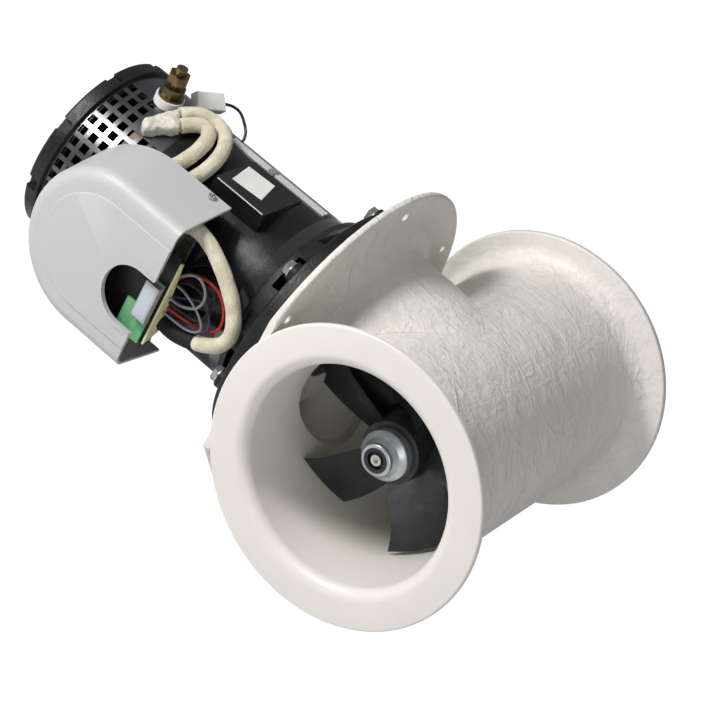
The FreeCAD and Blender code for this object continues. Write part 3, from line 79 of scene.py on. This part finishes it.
# Where the moulding's finish changes, and where painted shade in the bore and the neck begins, each as a
# start and an end
WALL_RADIUS = (0.0965, 0.099)
FRONT_RIM_X = (-0.1385, -0.132)
REAR_RIM_X = (0.172, 0.182)
NECK_RADIUS = (0.0708, 0.0722)
NECK_TOP_Y = (-0.06, -0.05)
# Painted shade: an olive grey deeper in the bore and toward the neck side, and a darker olive grey inside the
# neck
BORE_SHADE_X = (-0.105, -0.04)
BORE_SHADE_Y = (-0.19, -0.12)
WELL_SHADE_Y = (-0.06, -0.02)
WELL_SHADE_RADIUS = (0.0985, 0.104)
HULL_FACE_Y = (-0.0035, -0.0015)

# Where the gear leg's flange takes a pale tone darkened with painted shade, and where the anode's core
# changes colour
LEG_FLANGE_Y = (-0.0095, -0.0085)
LEG_FLANGE_RADIUS = (0.031, 0.033)
ANODE_CORE_R = 0.0112
TURNED_GROOVES = 2200.0


# ------------------------------------------------------------ shader helpers
class Shader:
    """A small builder for one procedural material."""

    def __init__(self, name):
        self.material = bpy.data.materials.new(name)
        self.material.use_nodes = True
        self.tree = self.material.node_tree
        self.bsdf = self.tree.nodes["Principled BSDF"]
        self.coords = self.add("ShaderNodeTexCoord").outputs["Object"]

    def add(self, kind, **settings):
        node = self.tree.nodes.new(kind)
        for key, value in settings.items():
            setattr(node, key, value)
        return node

    def link(self, value, socket):
        if isinstance(value, bpy.types.NodeSocket):
            self.tree.links.new(value, socket)
        elif isinstance(value, tuple) and len(value) == 3 and socket.type == "RGBA":
            socket.default_value = (*value, 1)
        else:
            socket.default_value = value

    def set(self, **sockets):
        for key, value in sockets.items():
            self.link(value, self.bsdf.inputs[key.replace("_", " ")])

    def math(self, operation, first, second=0.0):
        node = self.add("ShaderNodeMath", operation=operation)
        self.link(first, node.inputs[0])
        self.link(second, node.inputs[1])
        return node.outputs[0]

    def times(self, first, *others):
        for other in others:
            first = self.math("MULTIPLY", first, other)
        return first

    def plus(self, first, *others):
        for other in others:
            first = self.math("ADD", first, other)
        return first

    def without(self, share):
        return self.math("SUBTRACT", 1.0, share)

    def length(self, first, second):
        return self.math("SQRT", self.plus(self.times(first, first), self.times(second, second)))

    def stretched(self, scale, turn):
        node = self.add("ShaderNodeMapping")
        self.tree.links.new(self.coords, node.inputs["Vector"])
        node.inputs["Scale"].default_value = scale
        node.inputs["Rotation"].default_value = turn
        return node.outputs[0]

    def noise(self, scale, detail=4, roughness=0.55, vector=None, distortion=0.0):
        node = self.add("ShaderNodeTexNoise")
        self.tree.links.new(vector or self.coords, node.inputs["Vector"])
        node.inputs["Scale"].default_value = scale
        node.inputs["Detail"].default_value = detail
        node.inputs["Roughness"].default_value = roughness
        node.inputs["Distortion"].default_value = distortion
        return node.outputs[0]

    def cells(self, scale, feature, vector):
        node = self.add("ShaderNodeTexVoronoi", feature=feature)
        self.tree.links.new(vector, node.inputs["Vector"])
        node.inputs["Scale"].default_value = scale
        return node.outputs["Distance"]

    def ramp(self, value, low, high, start=0.0, end=1.0):
        node = self.add("ShaderNodeMapRange", interpolation_type="SMOOTHSTEP")
        self.link(value, node.inputs["Value"])
        for key, number in (("From Min", low), ("From Max", high), ("To Min", start), ("To Max", end)):
            node.inputs[key].default_value = number
        return node.outputs[0]

    def mix(self, share, first, second):
        node = self.add("ShaderNodeMix", data_type="RGBA")
        self.link(share, node.inputs["Factor"])
        self.link(first, node.inputs["A"])
        self.link(second, node.inputs["B"])
        return node.outputs["Result"]

    def axes(self):
        node = self.add("ShaderNodeSeparateXYZ")
        self.tree.links.new(self.coords, node.inputs[0])
        return node.outputs

    def tunnel_radius(self):
        x, y, z = self.axes()
        return self.length(self.plus(y, -TUNNEL_Y), z)

    def bump(self, height, strength, distance):
        node = self.add("ShaderNodeBump")
        node.inputs["Strength"].default_value = strength
        node.inputs["Distance"].default_value = distance
        self.link(height, node.inputs["Height"])
        self.tree.links.new(node.outputs[0], self.bsdf.inputs["Normal"])


# ------------------------------------------------------------ materials
def worn(name, colour, other, rough, metal=0.0, grain=900.0, depth=0.00015, patch=25.0, coat=0.0,
         strength=0.5, gloss=0.5):
    """Colour patches, a roughness that wanders with them, and a fine surface grain."""
    shader = Shader(name)
    patches = shader.noise(patch, 5, 0.6)
    fine = shader.noise(grain, 3, 0.6)
    tone = shader.mix(shader.ramp(patches, 0.35, 0.7), colour, other)
    shader.set(Base_Color=tone, Metallic=metal, Specular_IOR_Level=gloss)
    wander = shader.noise(patch * 3, 4, 0.6)
    shader.set(Roughness=shader.ramp(wander, 0.3, 0.75, rough * 0.8, min(1.0, rough * 1.25)))
    if coat:
        shader.set(Coat_Weight=coat, Coat_Roughness=0.12)
    shader.bump(fine, strength, depth)
    return shader.material


def gelcoat():
    """Smooth gelcoat on the rims and in the bore, hand-laid laminate on the outside, with painted shade deep
    in the bore and inside the neck.
    """
    shader = Shader("gelcoat")
    radius = shader.tunnel_radius()
    x, y, z = shader.axes()
    outside = shader.ramp(radius, *WALL_RADIUS)
    off_front = shader.ramp(x, *FRONT_RIM_X)
    off_rear = shader.ramp(x, *REAR_RIM_X, 1.0, 0.35)
    in_neck = shader.ramp(shader.length(x, z), *NECK_RADIUS, 1.0, 0.0)
    in_neck = shader.times(in_neck, shader.ramp(y, *NECK_TOP_Y))
    laid = shader.times(outside, off_front, off_rear, shader.without(in_neck))

    lumps = shader.noise(30, 5, 0.6, shader.stretched((1.0, 0.6, 0.55), (0.5, 0.3, 0.2)), 0.8)
    weave = shader.noise(105, 5, 0.66, shader.stretched((1.0, 0.68, 0.62), (0.7, 0.3, 0.4)), 0.8)
    cross = shader.noise(150, 4, 0.65, shader.stretched((0.35, 1.0, 0.8), (0.2, 0.5, 0.1)), 1.1)
    cells = shader.cells(34, "DISTANCE_TO_EDGE", shader.stretched((1.3, 0.6, 0.5), (0.4, 0.2, 0.5)))
    crease = shader.times(shader.ramp(cells, 0.0, 0.05, 1.0, 0.0),
                          shader.ramp(shader.noise(14, 3), 0.48, 0.62))
    height = shader.plus(shader.times(lumps, 1.9), shader.times(weave, 1.15), shader.times(cross, 0.3),
                         shader.times(crease, 0.28))
    height = shader.plus(shader.times(height, laid), shader.times(shader.noise(9, 2), 0.25))

    cloud = shader.ramp(shader.noise(7, 4, 0.6), 0.35, 0.7)
    white = shader.mix(cloud, (0.775, 0.742, 0.713), (0.73, 0.70, 0.672))
    rough_side = shader.mix(shader.ramp(weave, 0.35, 0.7), (0.77, 0.74, 0.70), (0.84, 0.81, 0.775))
    colour = shader.mix(laid, white, rough_side)
    # Painted shade: the bore's wall turns olive grey deeper in and toward the neck side.
    depth = shader.ramp(x, *BORE_SHADE_X, 0.0, 0.8)
    shade_toward_neck = shader.ramp(y, *BORE_SHADE_Y, 0.25, 1.0)
    inner = shader.times(shader.without(outside), shader.times(depth, shade_toward_neck))
    colour = shader.mix(inner, colour, (0.52, 0.52, 0.43))
    # Painted shade: the inside of the neck is mixed halfway to a darker olive grey.
    well_shade = shader.times(shader.ramp(y, *WELL_SHADE_Y), shader.ramp(radius, *WELL_SHADE_RADIUS),
                        shader.ramp(y, *HULL_FACE_Y, 1.0, 0.0), off_front)
    colour = shader.mix(shader.times(well_shade, 0.5), colour, (0.66, 0.66, 0.58))
    shader.set(Base_Color=colour, Coat_Weight=0.15, Coat_Roughness=0.3)
    shader.set(Roughness=shader.ramp(weave, 0.3, 0.7, 0.38, 0.55))
    shader.bump(height, 1.0, 0.0019)
    return shader.material


def braid():
    """Cotton sleeve: two sets of diagonal strands, each passing over the other in turn."""
    shader = Shader("cream_sleeve")
    uv = shader.add("ShaderNodeUVMap", uv_map="weave")
    split = shader.add("ShaderNodeSeparateXYZ")
    shader.tree.links.new(uv.outputs[0], split.inputs[0])
    around, along = split.outputs[0], split.outputs[1]
    rising = shader.math("ABSOLUTE", shader.math("SINE", shader.plus(around, along)))
    falling = shader.math("ABSOLUTE", shader.math("SINE", shader.math("SUBTRACT", around, along)))
    strands = shader.math("MAXIMUM", rising, falling)
    dirt = shader.ramp(shader.noise(70, 5, 0.65), 0.35, 0.7)
    colour = shader.mix(dirt, (0.60, 0.54, 0.40), (0.80, 0.76, 0.63))
    # Painted shade: darker cream in the gaps between the strands.
    colour = shader.mix(shader.ramp(strands, 0.55, 0.95, 0.45, 0.0), colour, (0.42, 0.36, 0.25))
    fuzz = shader.noise(650, 4, 0.75)
    shader.set(Base_Color=colour, Roughness=0.9, Sheen_Weight=0.3, Sheen_Roughness=0.5)
    shader.bump(shader.plus(strands, shader.times(fuzz, 0.9)), 0.75, 0.0007)
    return shader.material


def propeller_black():
    shader = Shader("propeller_black")
    streak = shader.ramp(shader.noise(40, 4, 0.6), 0.35, 0.7)
    shader.set(Base_Color=shader.mix(streak, (0.008, 0.009, 0.011), (0.02, 0.022, 0.026)))
    shader.set(Roughness=shader.ramp(shader.noise(90, 3), 0.3, 0.7, 0.34, 0.52))
    shader.set(Coat_Weight=0.1, Coat_Roughness=0.3)
    shader.bump(shader.noise(700, 3, 0.6), 0.35, 0.0002)
    return shader.material


def leg_casting():
    """Black casting whose flange, which closes the neck, takes a pale gelcoat tone darkened to olive grey as
    painted shade.
    """
    shader = Shader("leg_casting")
    x, y, z = shader.axes()
    # Painted shade: the flange is an olive grey, the gelcoat tone as it looks in shadow.
    flange = shader.times(shader.ramp(y, *LEG_FLANGE_Y),
                          shader.ramp(shader.length(x, z), *LEG_FLANGE_RADIUS))
    cloud = shader.ramp(shader.noise(40, 4, 0.6), 0.35, 0.7)
    black = shader.mix(cloud, (0.007, 0.007, 0.008), (0.016, 0.016, 0.017))
    shader.set(Base_Color=shader.mix(flange, black, (0.64, 0.63, 0.55)), Roughness=0.42)
    shader.bump(shader.noise(420, 3, 0.6), 0.6, 0.0004)
    return shader.material


def turned_metal(name, colour, other, rough):
    """Lathe-turned about the tunnel axis, with a dark core round the screw."""
    shader = Shader(name)
    grooves = shader.add("ShaderNodeTexWave", wave_type="RINGS", rings_direction="X")
    shifted = shader.add("ShaderNodeMapping")
    shader.tree.links.new(shader.coords, shifted.inputs["Vector"])
    shifted.inputs["Location"].default_value = (0, -TUNNEL_Y, 0)
    shader.tree.links.new(shifted.outputs[0], grooves.inputs["Vector"])
    grooves.inputs["Scale"].default_value = TURNED_GROOVES / 6.28
    grooves.inputs["Distortion"].default_value = 0.4
    cloud = shader.ramp(shader.noise(55, 5, 0.65), 0.3, 0.75)
    core = shader.ramp(shader.tunnel_radius(), ANODE_CORE_R - 0.0006, ANODE_CORE_R + 0.0002, 1.0, 0.0)
    tone = shader.mix(core, shader.mix(cloud, colour, other), (0.05, 0.052, 0.058))
    shader.set(Base_Color=tone, Metallic=0.85)
    shader.set(Roughness=shader.ramp(cloud, 0.0, 1.0, rough, rough * 1.5))
    shader.bump(shader.plus(grooves.outputs["Fac"], shader.noise(420, 4)), 0.3, 0.0002)
    return shader.material


# Colour, second colour, roughness, and what else the finish needs
WORN = {
    "black_paint": ((0.005, 0.005, 0.0055), (0.011, 0.011, 0.012), 0.27,
                    dict(coat=0.12, grain=500, depth=0.0001, gloss=0.4)),
    "black_casting": ((0.006, 0.006, 0.0065), (0.015, 0.015, 0.016), 0.42,
                      dict(grain=420, depth=0.0005, strength=0.7, gloss=0.32)),
    "black_plastic": ((0.006, 0.006, 0.006), (0.013, 0.0125, 0.012), 0.4,
                      dict(grain=700, depth=0.0002, gloss=0.32)),
    "rubber": ((0.006, 0.006, 0.006), (0.014, 0.014, 0.014), 0.7,
               dict(grain=900, depth=0.0002, gloss=0.25)),
    "zinc_plated": ((0.62, 0.62, 0.60), (0.46, 0.46, 0.44), 0.3,
                    dict(metal=0.95, grain=700, depth=0.0001, patch=90)),
    "steel": ((0.50, 0.50, 0.50), (0.36, 0.36, 0.37), 0.3,
              dict(metal=1.0, grain=800, depth=0.0001, patch=60)),
    "copper": ((0.62, 0.30, 0.16), (0.42, 0.20, 0.11), 0.32, dict(metal=1.0, grain=500, patch=70)),
    "brass": ((0.23, 0.185, 0.095), (0.12, 0.098, 0.055), 0.38, dict(metal=1.0, grain=600, patch=120)),
    "carbon": ((0.03, 0.03, 0.03), (0.06, 0.06, 0.06), 0.6, dict(metal=0.2)),
    "varnished_copper": ((0.30, 0.10, 0.04), (0.18, 0.07, 0.03), 0.3, dict(metal=0.2, coat=0.5)),
    "insulation_board": ((0.25, 0.16, 0.08), (0.18, 0.11, 0.06), 0.6, {}),
    "white_plastic": ((0.80, 0.80, 0.77), (0.72, 0.72, 0.69), 0.4, dict(patch=60)),
    "grey_cover": ((0.50, 0.498, 0.502), (0.482, 0.484, 0.495), 0.44,
                   dict(grain=1200, depth=0.00005, patch=5)),
    "board_green": ((0.13, 0.40, 0.18), (0.22, 0.52, 0.28), 0.35, dict(patch=140, coat=0.4)),
    "module_silver": ((0.50, 0.51, 0.54), (0.40, 0.41, 0.43), 0.35, dict(metal=0.6, patch=80)),
    "card_yellow": ((0.72, 0.68, 0.38), (0.62, 0.58, 0.34), 0.55, dict(patch=50)),
    "wire_red": ((0.50, 0.015, 0.02), (0.35, 0.01, 0.015), 0.35, {}),
    "wire_violet": ((0.075, 0.05, 0.20), (0.05, 0.035, 0.15), 0.35, {}),
    "wire_grey": ((0.22, 0.22, 0.23), (0.15, 0.15, 0.16), 0.35, {}),
    "wire_black": ((0.008, 0.008, 0.009), (0.02, 0.02, 0.02), 0.35, dict(gloss=0.4)),
    "cloth": ((0.66, 0.635, 0.56), (0.50, 0.48, 0.42), 0.85,
              dict(grain=650, depth=0.0007, patch=120, strength=0.9)),
    "band_steel": ((0.15, 0.153, 0.16), (0.11, 0.113, 0.12), 0.31,
                   dict(metal=0.92, grain=500, depth=0.00006, patch=14)),
    "label_grey": ((0.50, 0.54, 0.60), (0.40, 0.44, 0.50), 0.45, dict(grain=1500, depth=0.00005)),
    # Real straps along the motor, whose near-white colour is a painted highlight standing for their
    # reflection.
    "strip_painted_highlight": ((0.80, 0.81, 0.82), (0.70, 0.71, 0.72), 0.35,
                     dict(metal=0.2, grain=900, depth=0.00001, patch=12)),
    "bell_gloss": ((0.006, 0.006, 0.0065), (0.012, 0.012, 0.013), 0.14,
                   dict(coat=1.0, grain=260, depth=0.0002, gloss=0.9)),
    "paper": ((0.80, 0.80, 0.79), (0.72, 0.72, 0.71), 0.5, dict(grain=1500, depth=0.00005)),
}
M = {name: worn(name, colour, other, rough, **more) for name, (colour, other, rough, more) in WORN.items()}
M["gelcoat"] = gelcoat()
M["zinc"] = turned_metal("zinc", (0.56, 0.60, 0.64), (0.38, 0.42, 0.46), 0.28)
M["cream_sleeve"] = braid()
M["propeller"] = propeller_black()
M["leg_casting"] = leg_casting()

# Nodes whose finish differs from the rest of their material slot
OWN_MATERIAL = {"propeller": "propeller", "cable_cuff": "cloth", "commutator_band": "band_steel",
                "gear_leg": "leg_casting", "drive_end_bell": "bell_gloss"}


# ------------------------------------------------------------ CAD nodes
def dress_nodes():
    """Give every CAD node its material, smooth faces and crisp edges."""
    slots = {row["node"]: row["material_slot"] for row in frame["record"]["subparts"]}
    for name, thing in nodes.items():
        thing.data.materials.clear()
        thing.data.materials.append(M[OWN_MATERIAL.get(name, slots[name])])
        for polygon in thing.data.polygons:
            polygon.use_smooth = True
        weld = thing.modifiers.new("weld", "WELD")
        weld.merge_threshold = WELD_GAP
        if name != "cable_cuff":
            split = thing.modifiers.new("split", "EDGE_SPLIT")
            split.split_angle = SPLIT_ANGLE


def soften_cuff():
    """Turn the cuff's plain block into a soft, creased wrap."""
    cuff = nodes["cable_cuff"]
    knit = cuff.modifiers.new("knit", "REMESH")
    knit.mode, knit.voxel_size, knit.use_smooth_shade = "VOXEL", CUFF_KNIT, True
    soften = cuff.modifiers.new("soften", "SMOOTH")
    soften.factor, soften.iterations = 0.8, CUFF_SMOOTH_STEPS
    folds = bpy.data.textures.new("folds", "CLOUDS")
    folds.noise_scale, folds.noise_depth = CUFF_FOLD_SIZE, 2
    ruffle = cuff.modifiers.new("ruffle", "DISPLACE")
    ruffle.texture, ruffle.texture_coords = folds, "LOCAL"
    ruffle.strength, ruffle.mid_level = CUFF_FOLD_HEIGHT, 0.28


dress_nodes()
soften_cuff()

# ------------------------------------------------------------ leads
SLEEVE_R = 6.5 * MM
BOOT_R = SLEEVE_R + 0.75 * MM
WIRE_R = 1.3 * MM
THIN_WIRE_R = WIRE_R * 0.8
WEAVE_THREADS = 22
WEAVE_PITCH = 0.0011
SLEEVES = {
    "loop_cable_a": [
        (-27.8, 200, 87), (-17, 194, 91.4), (-11.6, 185.8, 92.4), (-15.6, 178, 91.9), (-25.2, 173, 89.8),
        (-39.1, 170, 84.4), (-55.8, 171.5, 75), (-70, 177, 67), (-88, 181, 62), (-99, 183, 51),
        (-99, 183, 36)],
    "loop_cable_b": [
        (-18.1, 209.3, 89.6), (-4.8, 203.6, 92.8), (4.2, 190.1, 92.9), (0.6, 173, 93), (-14, 160.8, 91.8),
        (-32.4, 153, 87.2), (-45.6, 151.5, 81.1), (-56.3, 153, 74.6), (-71, 153, 67), (-89, 152.8, 62),
        (-99, 153, 51), (-99, 153, 36)],
    "lower_cable": [
        (-99, 133, 36), (-99, 133, 53), (-100, 118, 65), (-101, 97, 66), (-103, 72, 54), (-105, 48, 36),
        (-107, 34, 13), (-108, 44, -8), (-107, 62, -16)],
}
BOOT = [(-107, 62, -16), (-106, 80, -24), (-102.5, 102, -24), (-102.5, 121.9, -24)]
WIRES = [
    ("wire_red", [
        (-100, 122, 2), (-100, 110, 2), (-100, 98, 30), (-100, 70, 36), (-100, 54, 22), (-100, 50, 4),
        (-100, 61, -6), (-102, 74, -8), (-108.5, 88, -6), (-108.5, 98, -6)]),
    ("wire_black", [
        (-105.5, 122, 6), (-105.5, 110, 6), (-105.5, 96, 24), (-105.5, 76, 26), (-105.5, 63, 14),
        (-105.5, 69, -1), (-107, 82, -1), (-110, 90, 0), (-110, 98, 0)]),
    ("wire_black", [
        (-95, 122, 4), (-95, 110, 4), (-95, 98, 22), (-95, 80, 24), (-95, 68, 12), (-95, 66, 0),
        (-98, 76, -9), (-108.5, 89, -12.5), (-108.5, 98, -12.5)]),
    ("wire_grey", [
        (-110.5, 122, 8), (-110.5, 110, 8), (-110.5, 98, 30), (-110.5, 84, 40), (-110.5, 70, 30),
        (-110.5, 71, 14), (-111.5, 82, 7), (-113.5, 90, 6), (-113.5, 98, 6)]),
    ("wire_black", [
        (34.4, 204.2, 93.1), (42, 200.9, 93.1), (50, 193, 90), (52, 184, 81), (46.5, 176, 76.5),
        (43.1, 174.8, 72.5)]),
]
MORE_WIRES = [
    ("wire_black", [
        (-97.5, 120, 12), (-97.5, 108, 14), (-97.5, 90, 34), (-98, 76, 33), (-98, 64, 18), (-97.5, 72, 6),
        (-99, 92, 10), (-99, 112, 16)]),
    ("wire_violet", [
        (-103, 120, -2), (-103, 106, -2), (-104, 88, 10), (-103, 74, 18), (-102.5, 62, 8), (-103, 58, -4),
        (-104, 72, -12), (-104.5, 86, -14), (-105, 100, -10)]),
    ("wire_black", [
        (-92.5, 120, 18), (-92.5, 108, 22), (-92.5, 92, 42), (-93, 76, 44), (-93, 62, 30), (-93, 70, 18),
        (-92.5, 96, 22), (-92.5, 112, 26)]),
    ("wire_grey", [
        (-113, 118, 16), (-113, 106, 18), (-112.5, 92, 20), (-111.5, 80, 16), (-110.5, 66, 8),
        (-110, 60, -2), (-110.5, 70, -10), (-112, 86, -10), (-113, 97, -9)]),
]


def spline_path(name, points):
    """Points read from the smooth NURBS line that the route's points control."""
    curve = bpy.data.curves.new(name, "CURVE")
    curve.dimensions = "3D"
    curve.resolution_u = 14
    spline = curve.splines.new("NURBS")
    spline.points.add(len(points) - 1)
    for target, point in zip(spline.points, points):
        target.co = (point[0] * MM, point[1] * MM, point[2] * MM, 1)
    spline.order_u = 3
    spline.use_endpoint_u = True
    line = bpy.data.objects.new(name, curve)
    bpy.context.scene.collection.objects.link(line)
    bpy.context.view_layer.update()
    mesh = bpy.data.meshes.new_from_object(line)
    path = [vertex.co.copy() for vertex in mesh.vertices]
    bpy.data.objects.remove(line)
    return path


def add_tube(build, layer, path, radius, slot, sides=14, wobble=0.0):
    """One closed tube in a bmesh, with a weave map that counts strands around and along it."""
    side = path[0].cross(Vector((0.3, 0.5, 0.8))).normalized()
    rings, travelled = [], [0.0]
    for index, point in enumerate(path):
        ahead = path[min(index + 1, len(path) - 1)] - path[max(index - 1, 0)]
        ahead.normalize()
        side = (side - ahead * side.dot(ahead)).normalized()
        other = ahead.cross(side)
        if index:
            travelled.append(travelled[-1] + (point - path[index - 1]).length)
        ring = []
        for step in range(sides):
            turn = 2 * math.pi * step / sides
            out = side * math.cos(turn) + other * math.sin(turn)
            broad = field.noise(point * 95 + out * 1.3)
            fine = field.noise(point * 330 + out * 4)
            swell = 1 + wobble * broad + wobble * 0.6 * fine
            ring.append(build.verts.new(point + out * radius * swell))
        rings.append(ring)
    for index in range(len(rings) - 1):
        for step in range(sides):
            following = (step + 1) % sides
            face = build.faces.new((rings[index][step], rings[index][following],
                                    rings[index + 1][following], rings[index + 1][step]))
            face.material_index = slot
            face.smooth = True
            places = ((step, index), (step + 1, index), (step + 1, index + 1), (step, index + 1))
            for loop, (across, row) in zip(face.loops, places):
                loop[layer].uv = (across / sides * WEAVE_THREADS * math.pi, travelled[row] / WEAVE_PITCH)
    for ring, flip in ((rings[0], True), (rings[-1], False)):
        cap = build.faces.new(list(reversed(ring)) if flip else ring)
        cap.material_index = slot


def held(name, build, materials):
    """Turn a bmesh into a piece that rides on the housing."""
    mesh = bpy.data.meshes.new(name)
    build.to_mesh(mesh)
    build.free()
    for material in materials:
        mesh.materials.append(M[material])
    piece = bpy.data.objects.new(name, mesh)
    bpy.context.scene.collection.objects.link(piece)
    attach(piece, "housing")
    return piece


def leads(name, routes, radius, **options):
    """Tubes along several routes, each with its own material, as one piece."""
    build = bmesh.new()
    layer = build.loops.layers.uv.new("weave")
    for index, (material, points) in enumerate(routes):
        add_tube(build, layer, spline_path(name, points), radius, index, **options)
    return held(name, build, [material for material, points in routes])


for name, points in SLEEVES.items():
    sleeve = leads(name + "_braid", [("cream_sleeve", points)], SLEEVE_R, sides=40, wobble=0.07)
    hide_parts(name)
boot = leads("boot_rubber", [("rubber", BOOT)], BOOT_R, sides=32, wobble=0.015)
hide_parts("cable_boot")
wires = leads("coloured_wires", WIRES, WIRE_R)
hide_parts("signal_wires")
leads("more_wires", MORE_WIRES, THIN_WIRE_R)


# ------------------------------------------------------------ labels and strips
def closed(name, build, material):
    bmesh.ops.recalc_face_normals(build, faces=build.faces)
    return held(name, build, [material])


def prism(name, corners, lift, material):
    """Flat outline in millimetres, thickened along lift."""
    build = bmesh.new()
    low_ring = [build.verts.new(Vector(corner) * MM) for corner in corners]
    high_ring = [build.verts.new((Vector(corner) + Vector(lift)) * MM) for corner in corners]
    build.faces.new(low_ring)
    build.faces.new(list(reversed(high_ring)))
    for index in range(len(corners)):
        following = (index + 1) % len(corners)
        build.faces.new((low_ring[index], low_ring[following], high_ring[following], high_ring[index]))
    return closed(name, build, material)


def curved_sheet(name, inner, outer, low_y, high_y, first, last, material, steps):
    """Part of a thin sleeve about the neck axis; angles in degrees, lengths in millimetres."""
    build = bmesh.new()
    rows = []
    for step in range(steps + 1):
        angle = math.radians(first + (last - first) * step / steps)
        out = Vector((math.cos(angle), 0, math.sin(angle)))
        rows.append([build.verts.new((out * radius + Vector((0, level, 0))) * MM)
                     for radius, level in ((inner, low_y), (outer, low_y), (outer, high_y), (inner, high_y))])
    for before, after in zip(rows, rows[1:]):
        for index in range(4):
            following = (index + 1) % 4
            build.faces.new((before[index], before[following], after[following], after[index]))
    build.faces.new(rows[0])
    build.faces.new(list(reversed(rows[-1])))
    return closed(name, build, material)


LABEL_GAP = 0.03
LABEL_T = 0.25
STRIP_SUNK = 0.8
# Height above the case, level range, angle range, material and number of facets
STRIPS = {
    # The strip and rib carry the near-white painted highlight; the clamp is plain metal.
    "case_strip": (1.9, (64, 172), (75.3, 77.7), "strip_painted_highlight", 4),
    "case_rib": (1.6, (64, 172), (78.6, 81.2), "strip_painted_highlight", 4),
    "strip_clamp": (3.0, (121, 127), (74.3, 82.2), "module_silver", 8),
}


def labels_and_strips():
    """Blank labels, a pale strip along the saddle's edge that is a painted highlight, and the clamped strips
    along the motor, whose white is partly painted highlight.
    """
    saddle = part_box("label_plate")
    top = saddle[1][2] / MM + LABEL_GAP
    prism("motor_label", [(-6, 136.5, top), (-4, 108, top), (-35, 99.5, top), (-38, 130.5, top)],
          (0, 0, LABEL_T), "paper")
    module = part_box("control_module")
    face = module[0][0] / MM - LABEL_GAP
    prism("module_label", [(face, 103.6, -20), (face, 115.4, -20), (face, 115.4, 13), (face, 103.6, 13)],
          (-LABEL_T, 0, 0), "label_grey")
    # Painted highlight: a thin pale strip along the saddle's edge.
    prism("saddle_edge_highlight", [(-50.4, 86, 84.9), (-49.9, 86, 85.8), (-49.9, 137, 85.8), (-50.4, 137, 84.9)],
          (-0.3, 0, 0.2), "label_grey")
    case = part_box("motor_case")
    case_r = case[1][0] / MM
    for name, (height, levels, angles, material, facets) in STRIPS.items():
        curved_sheet(name, case_r - STRIP_SUNK, case_r + height, *levels, *angles, material, facets)


labels_and_strips()

# ------------------------------------------------------------ camera, light, floor
LENS = 122.767
CAMERA_PLACE = (-1.62276, -0.59834, 1.06453)
CAMERA_RIGHT = (0.5340, -0.7341, 0.4196)
CAMERA_UP = (0.2650, 0.6165, 0.7414)
CAMERA_BACK = (-0.8029, -0.2847, 0.5237)
FLOOR_HALF = 9
FLOOR_DROP = 0.002
SEEN_WHITE = 1.05
SKY_FILL = 0.25


def add_camera():
    camera = bpy.data.objects.new("camera", bpy.data.cameras.new("camera"))
    bpy.context.scene.collection.objects.link(camera)
    camera.data.sensor_width = 36
    camera.data.lens = LENS
    axes = (Vector(CAMERA_RIGHT), Vector(CAMERA_UP), Vector(CAMERA_BACK))
    camera.matrix_world = Matrix.Translation(CAMERA_PLACE) @ Matrix(axes).transposed().to_4x4()
    camera.data.clip_start, camera.data.clip_end = 0.05, 50
    bpy.context.scene.camera = camera


def add_floor():
    """Plain floor that the camera sees as white and that lights the part as pale grey."""
    floor = bpy.data.meshes.new("floor")
    corners = [(-FLOOR_HALF, -FLOOR_HALF, 0), (FLOOR_HALF, -FLOOR_HALF, 0),
               (FLOOR_HALF, FLOOR_HALF, 0), (-FLOOR_HALF, FLOOR_HALF, 0)]
    floor.from_pydata(corners, [], [(0, 1, 2, 3)])
    ground = bpy.data.objects.new("floor", floor)
    ground.location.z = cad_low.z - FLOOR_DROP
    bpy.context.scene.collection.objects.link(ground)
    shader = Shader("floor")
    shader.set(Base_Color=(0.75, 0.75, 0.75), Roughness=0.9)
    glow = shader.add("ShaderNodeEmission")
    glow.inputs["Strength"].default_value = SEEN_WHITE
    seen = shader.add("ShaderNodeLightPath").outputs["Is Camera Ray"]
    choice = shader.add("ShaderNodeMixShader")
    output = shader.tree.nodes["Material Output"]
    shader.tree.links.new(seen, choice.inputs[0])
    shader.tree.links.new(shader.bsdf.outputs[0], choice.inputs[1])
    shader.tree.links.new(glow.outputs[0], choice.inputs[2])
    shader.tree.links.new(choice.outputs[0], output.inputs["Surface"])
    floor.materials.append(shader.material)


def add_sky():
    world = bpy.context.scene.world or bpy.data.worlds.new("world")
    bpy.context.scene.world = world
    world.use_nodes = True
    sky = world.node_tree
    sky.nodes["Background"].inputs[0].default_value = (0.97, 0.98, 1.0, 1)
    ray = sky.nodes.new("ShaderNodeLightPath").outputs["Is Camera Ray"]
    level = sky.nodes.new("ShaderNodeMapRange")
    level.inputs["To Min"].default_value, level.inputs["To Max"].default_value = SKY_FILL, SEEN_WHITE
    sky.links.new(ray, level.inputs["Value"])
    sky.links.new(level.outputs[0], sky.nodes["Background"].inputs[1])


def add_light(name, place, aim, size, power, colour):
    light = bpy.data.lights.new(name, "AREA")
    light.shape, light.size, light.energy, light.color = "DISK", size, power, colour
    thing = bpy.data.objects.new(name, light)
    thing.location = place
    thing.rotation_mode = "QUATERNION"
    thing.rotation_quaternion = (Vector(aim) - Vector(place)).to_track_quat("-Z", "Y")
    bpy.context.scene.collection.objects.link(thing)


add_camera()
add_floor()
add_sky()
bpy.context.scene.view_settings.view_transform = "Standard"
add_light("key", (-0.92, 1.0, 1.1), (0, 0, 0), 0.5, 28, (1, 0.985, 0.96))
add_light("front", (-1.7, -1.1, 0.55), (0, -0.1, 0), 1.0, 9, (1, 0.99, 0.975))
add_light("edge", (1.1, -0.3, 1.5), (0.1, -0.1, 0), 0.8, 1.8, (1, 0.99, 0.98))
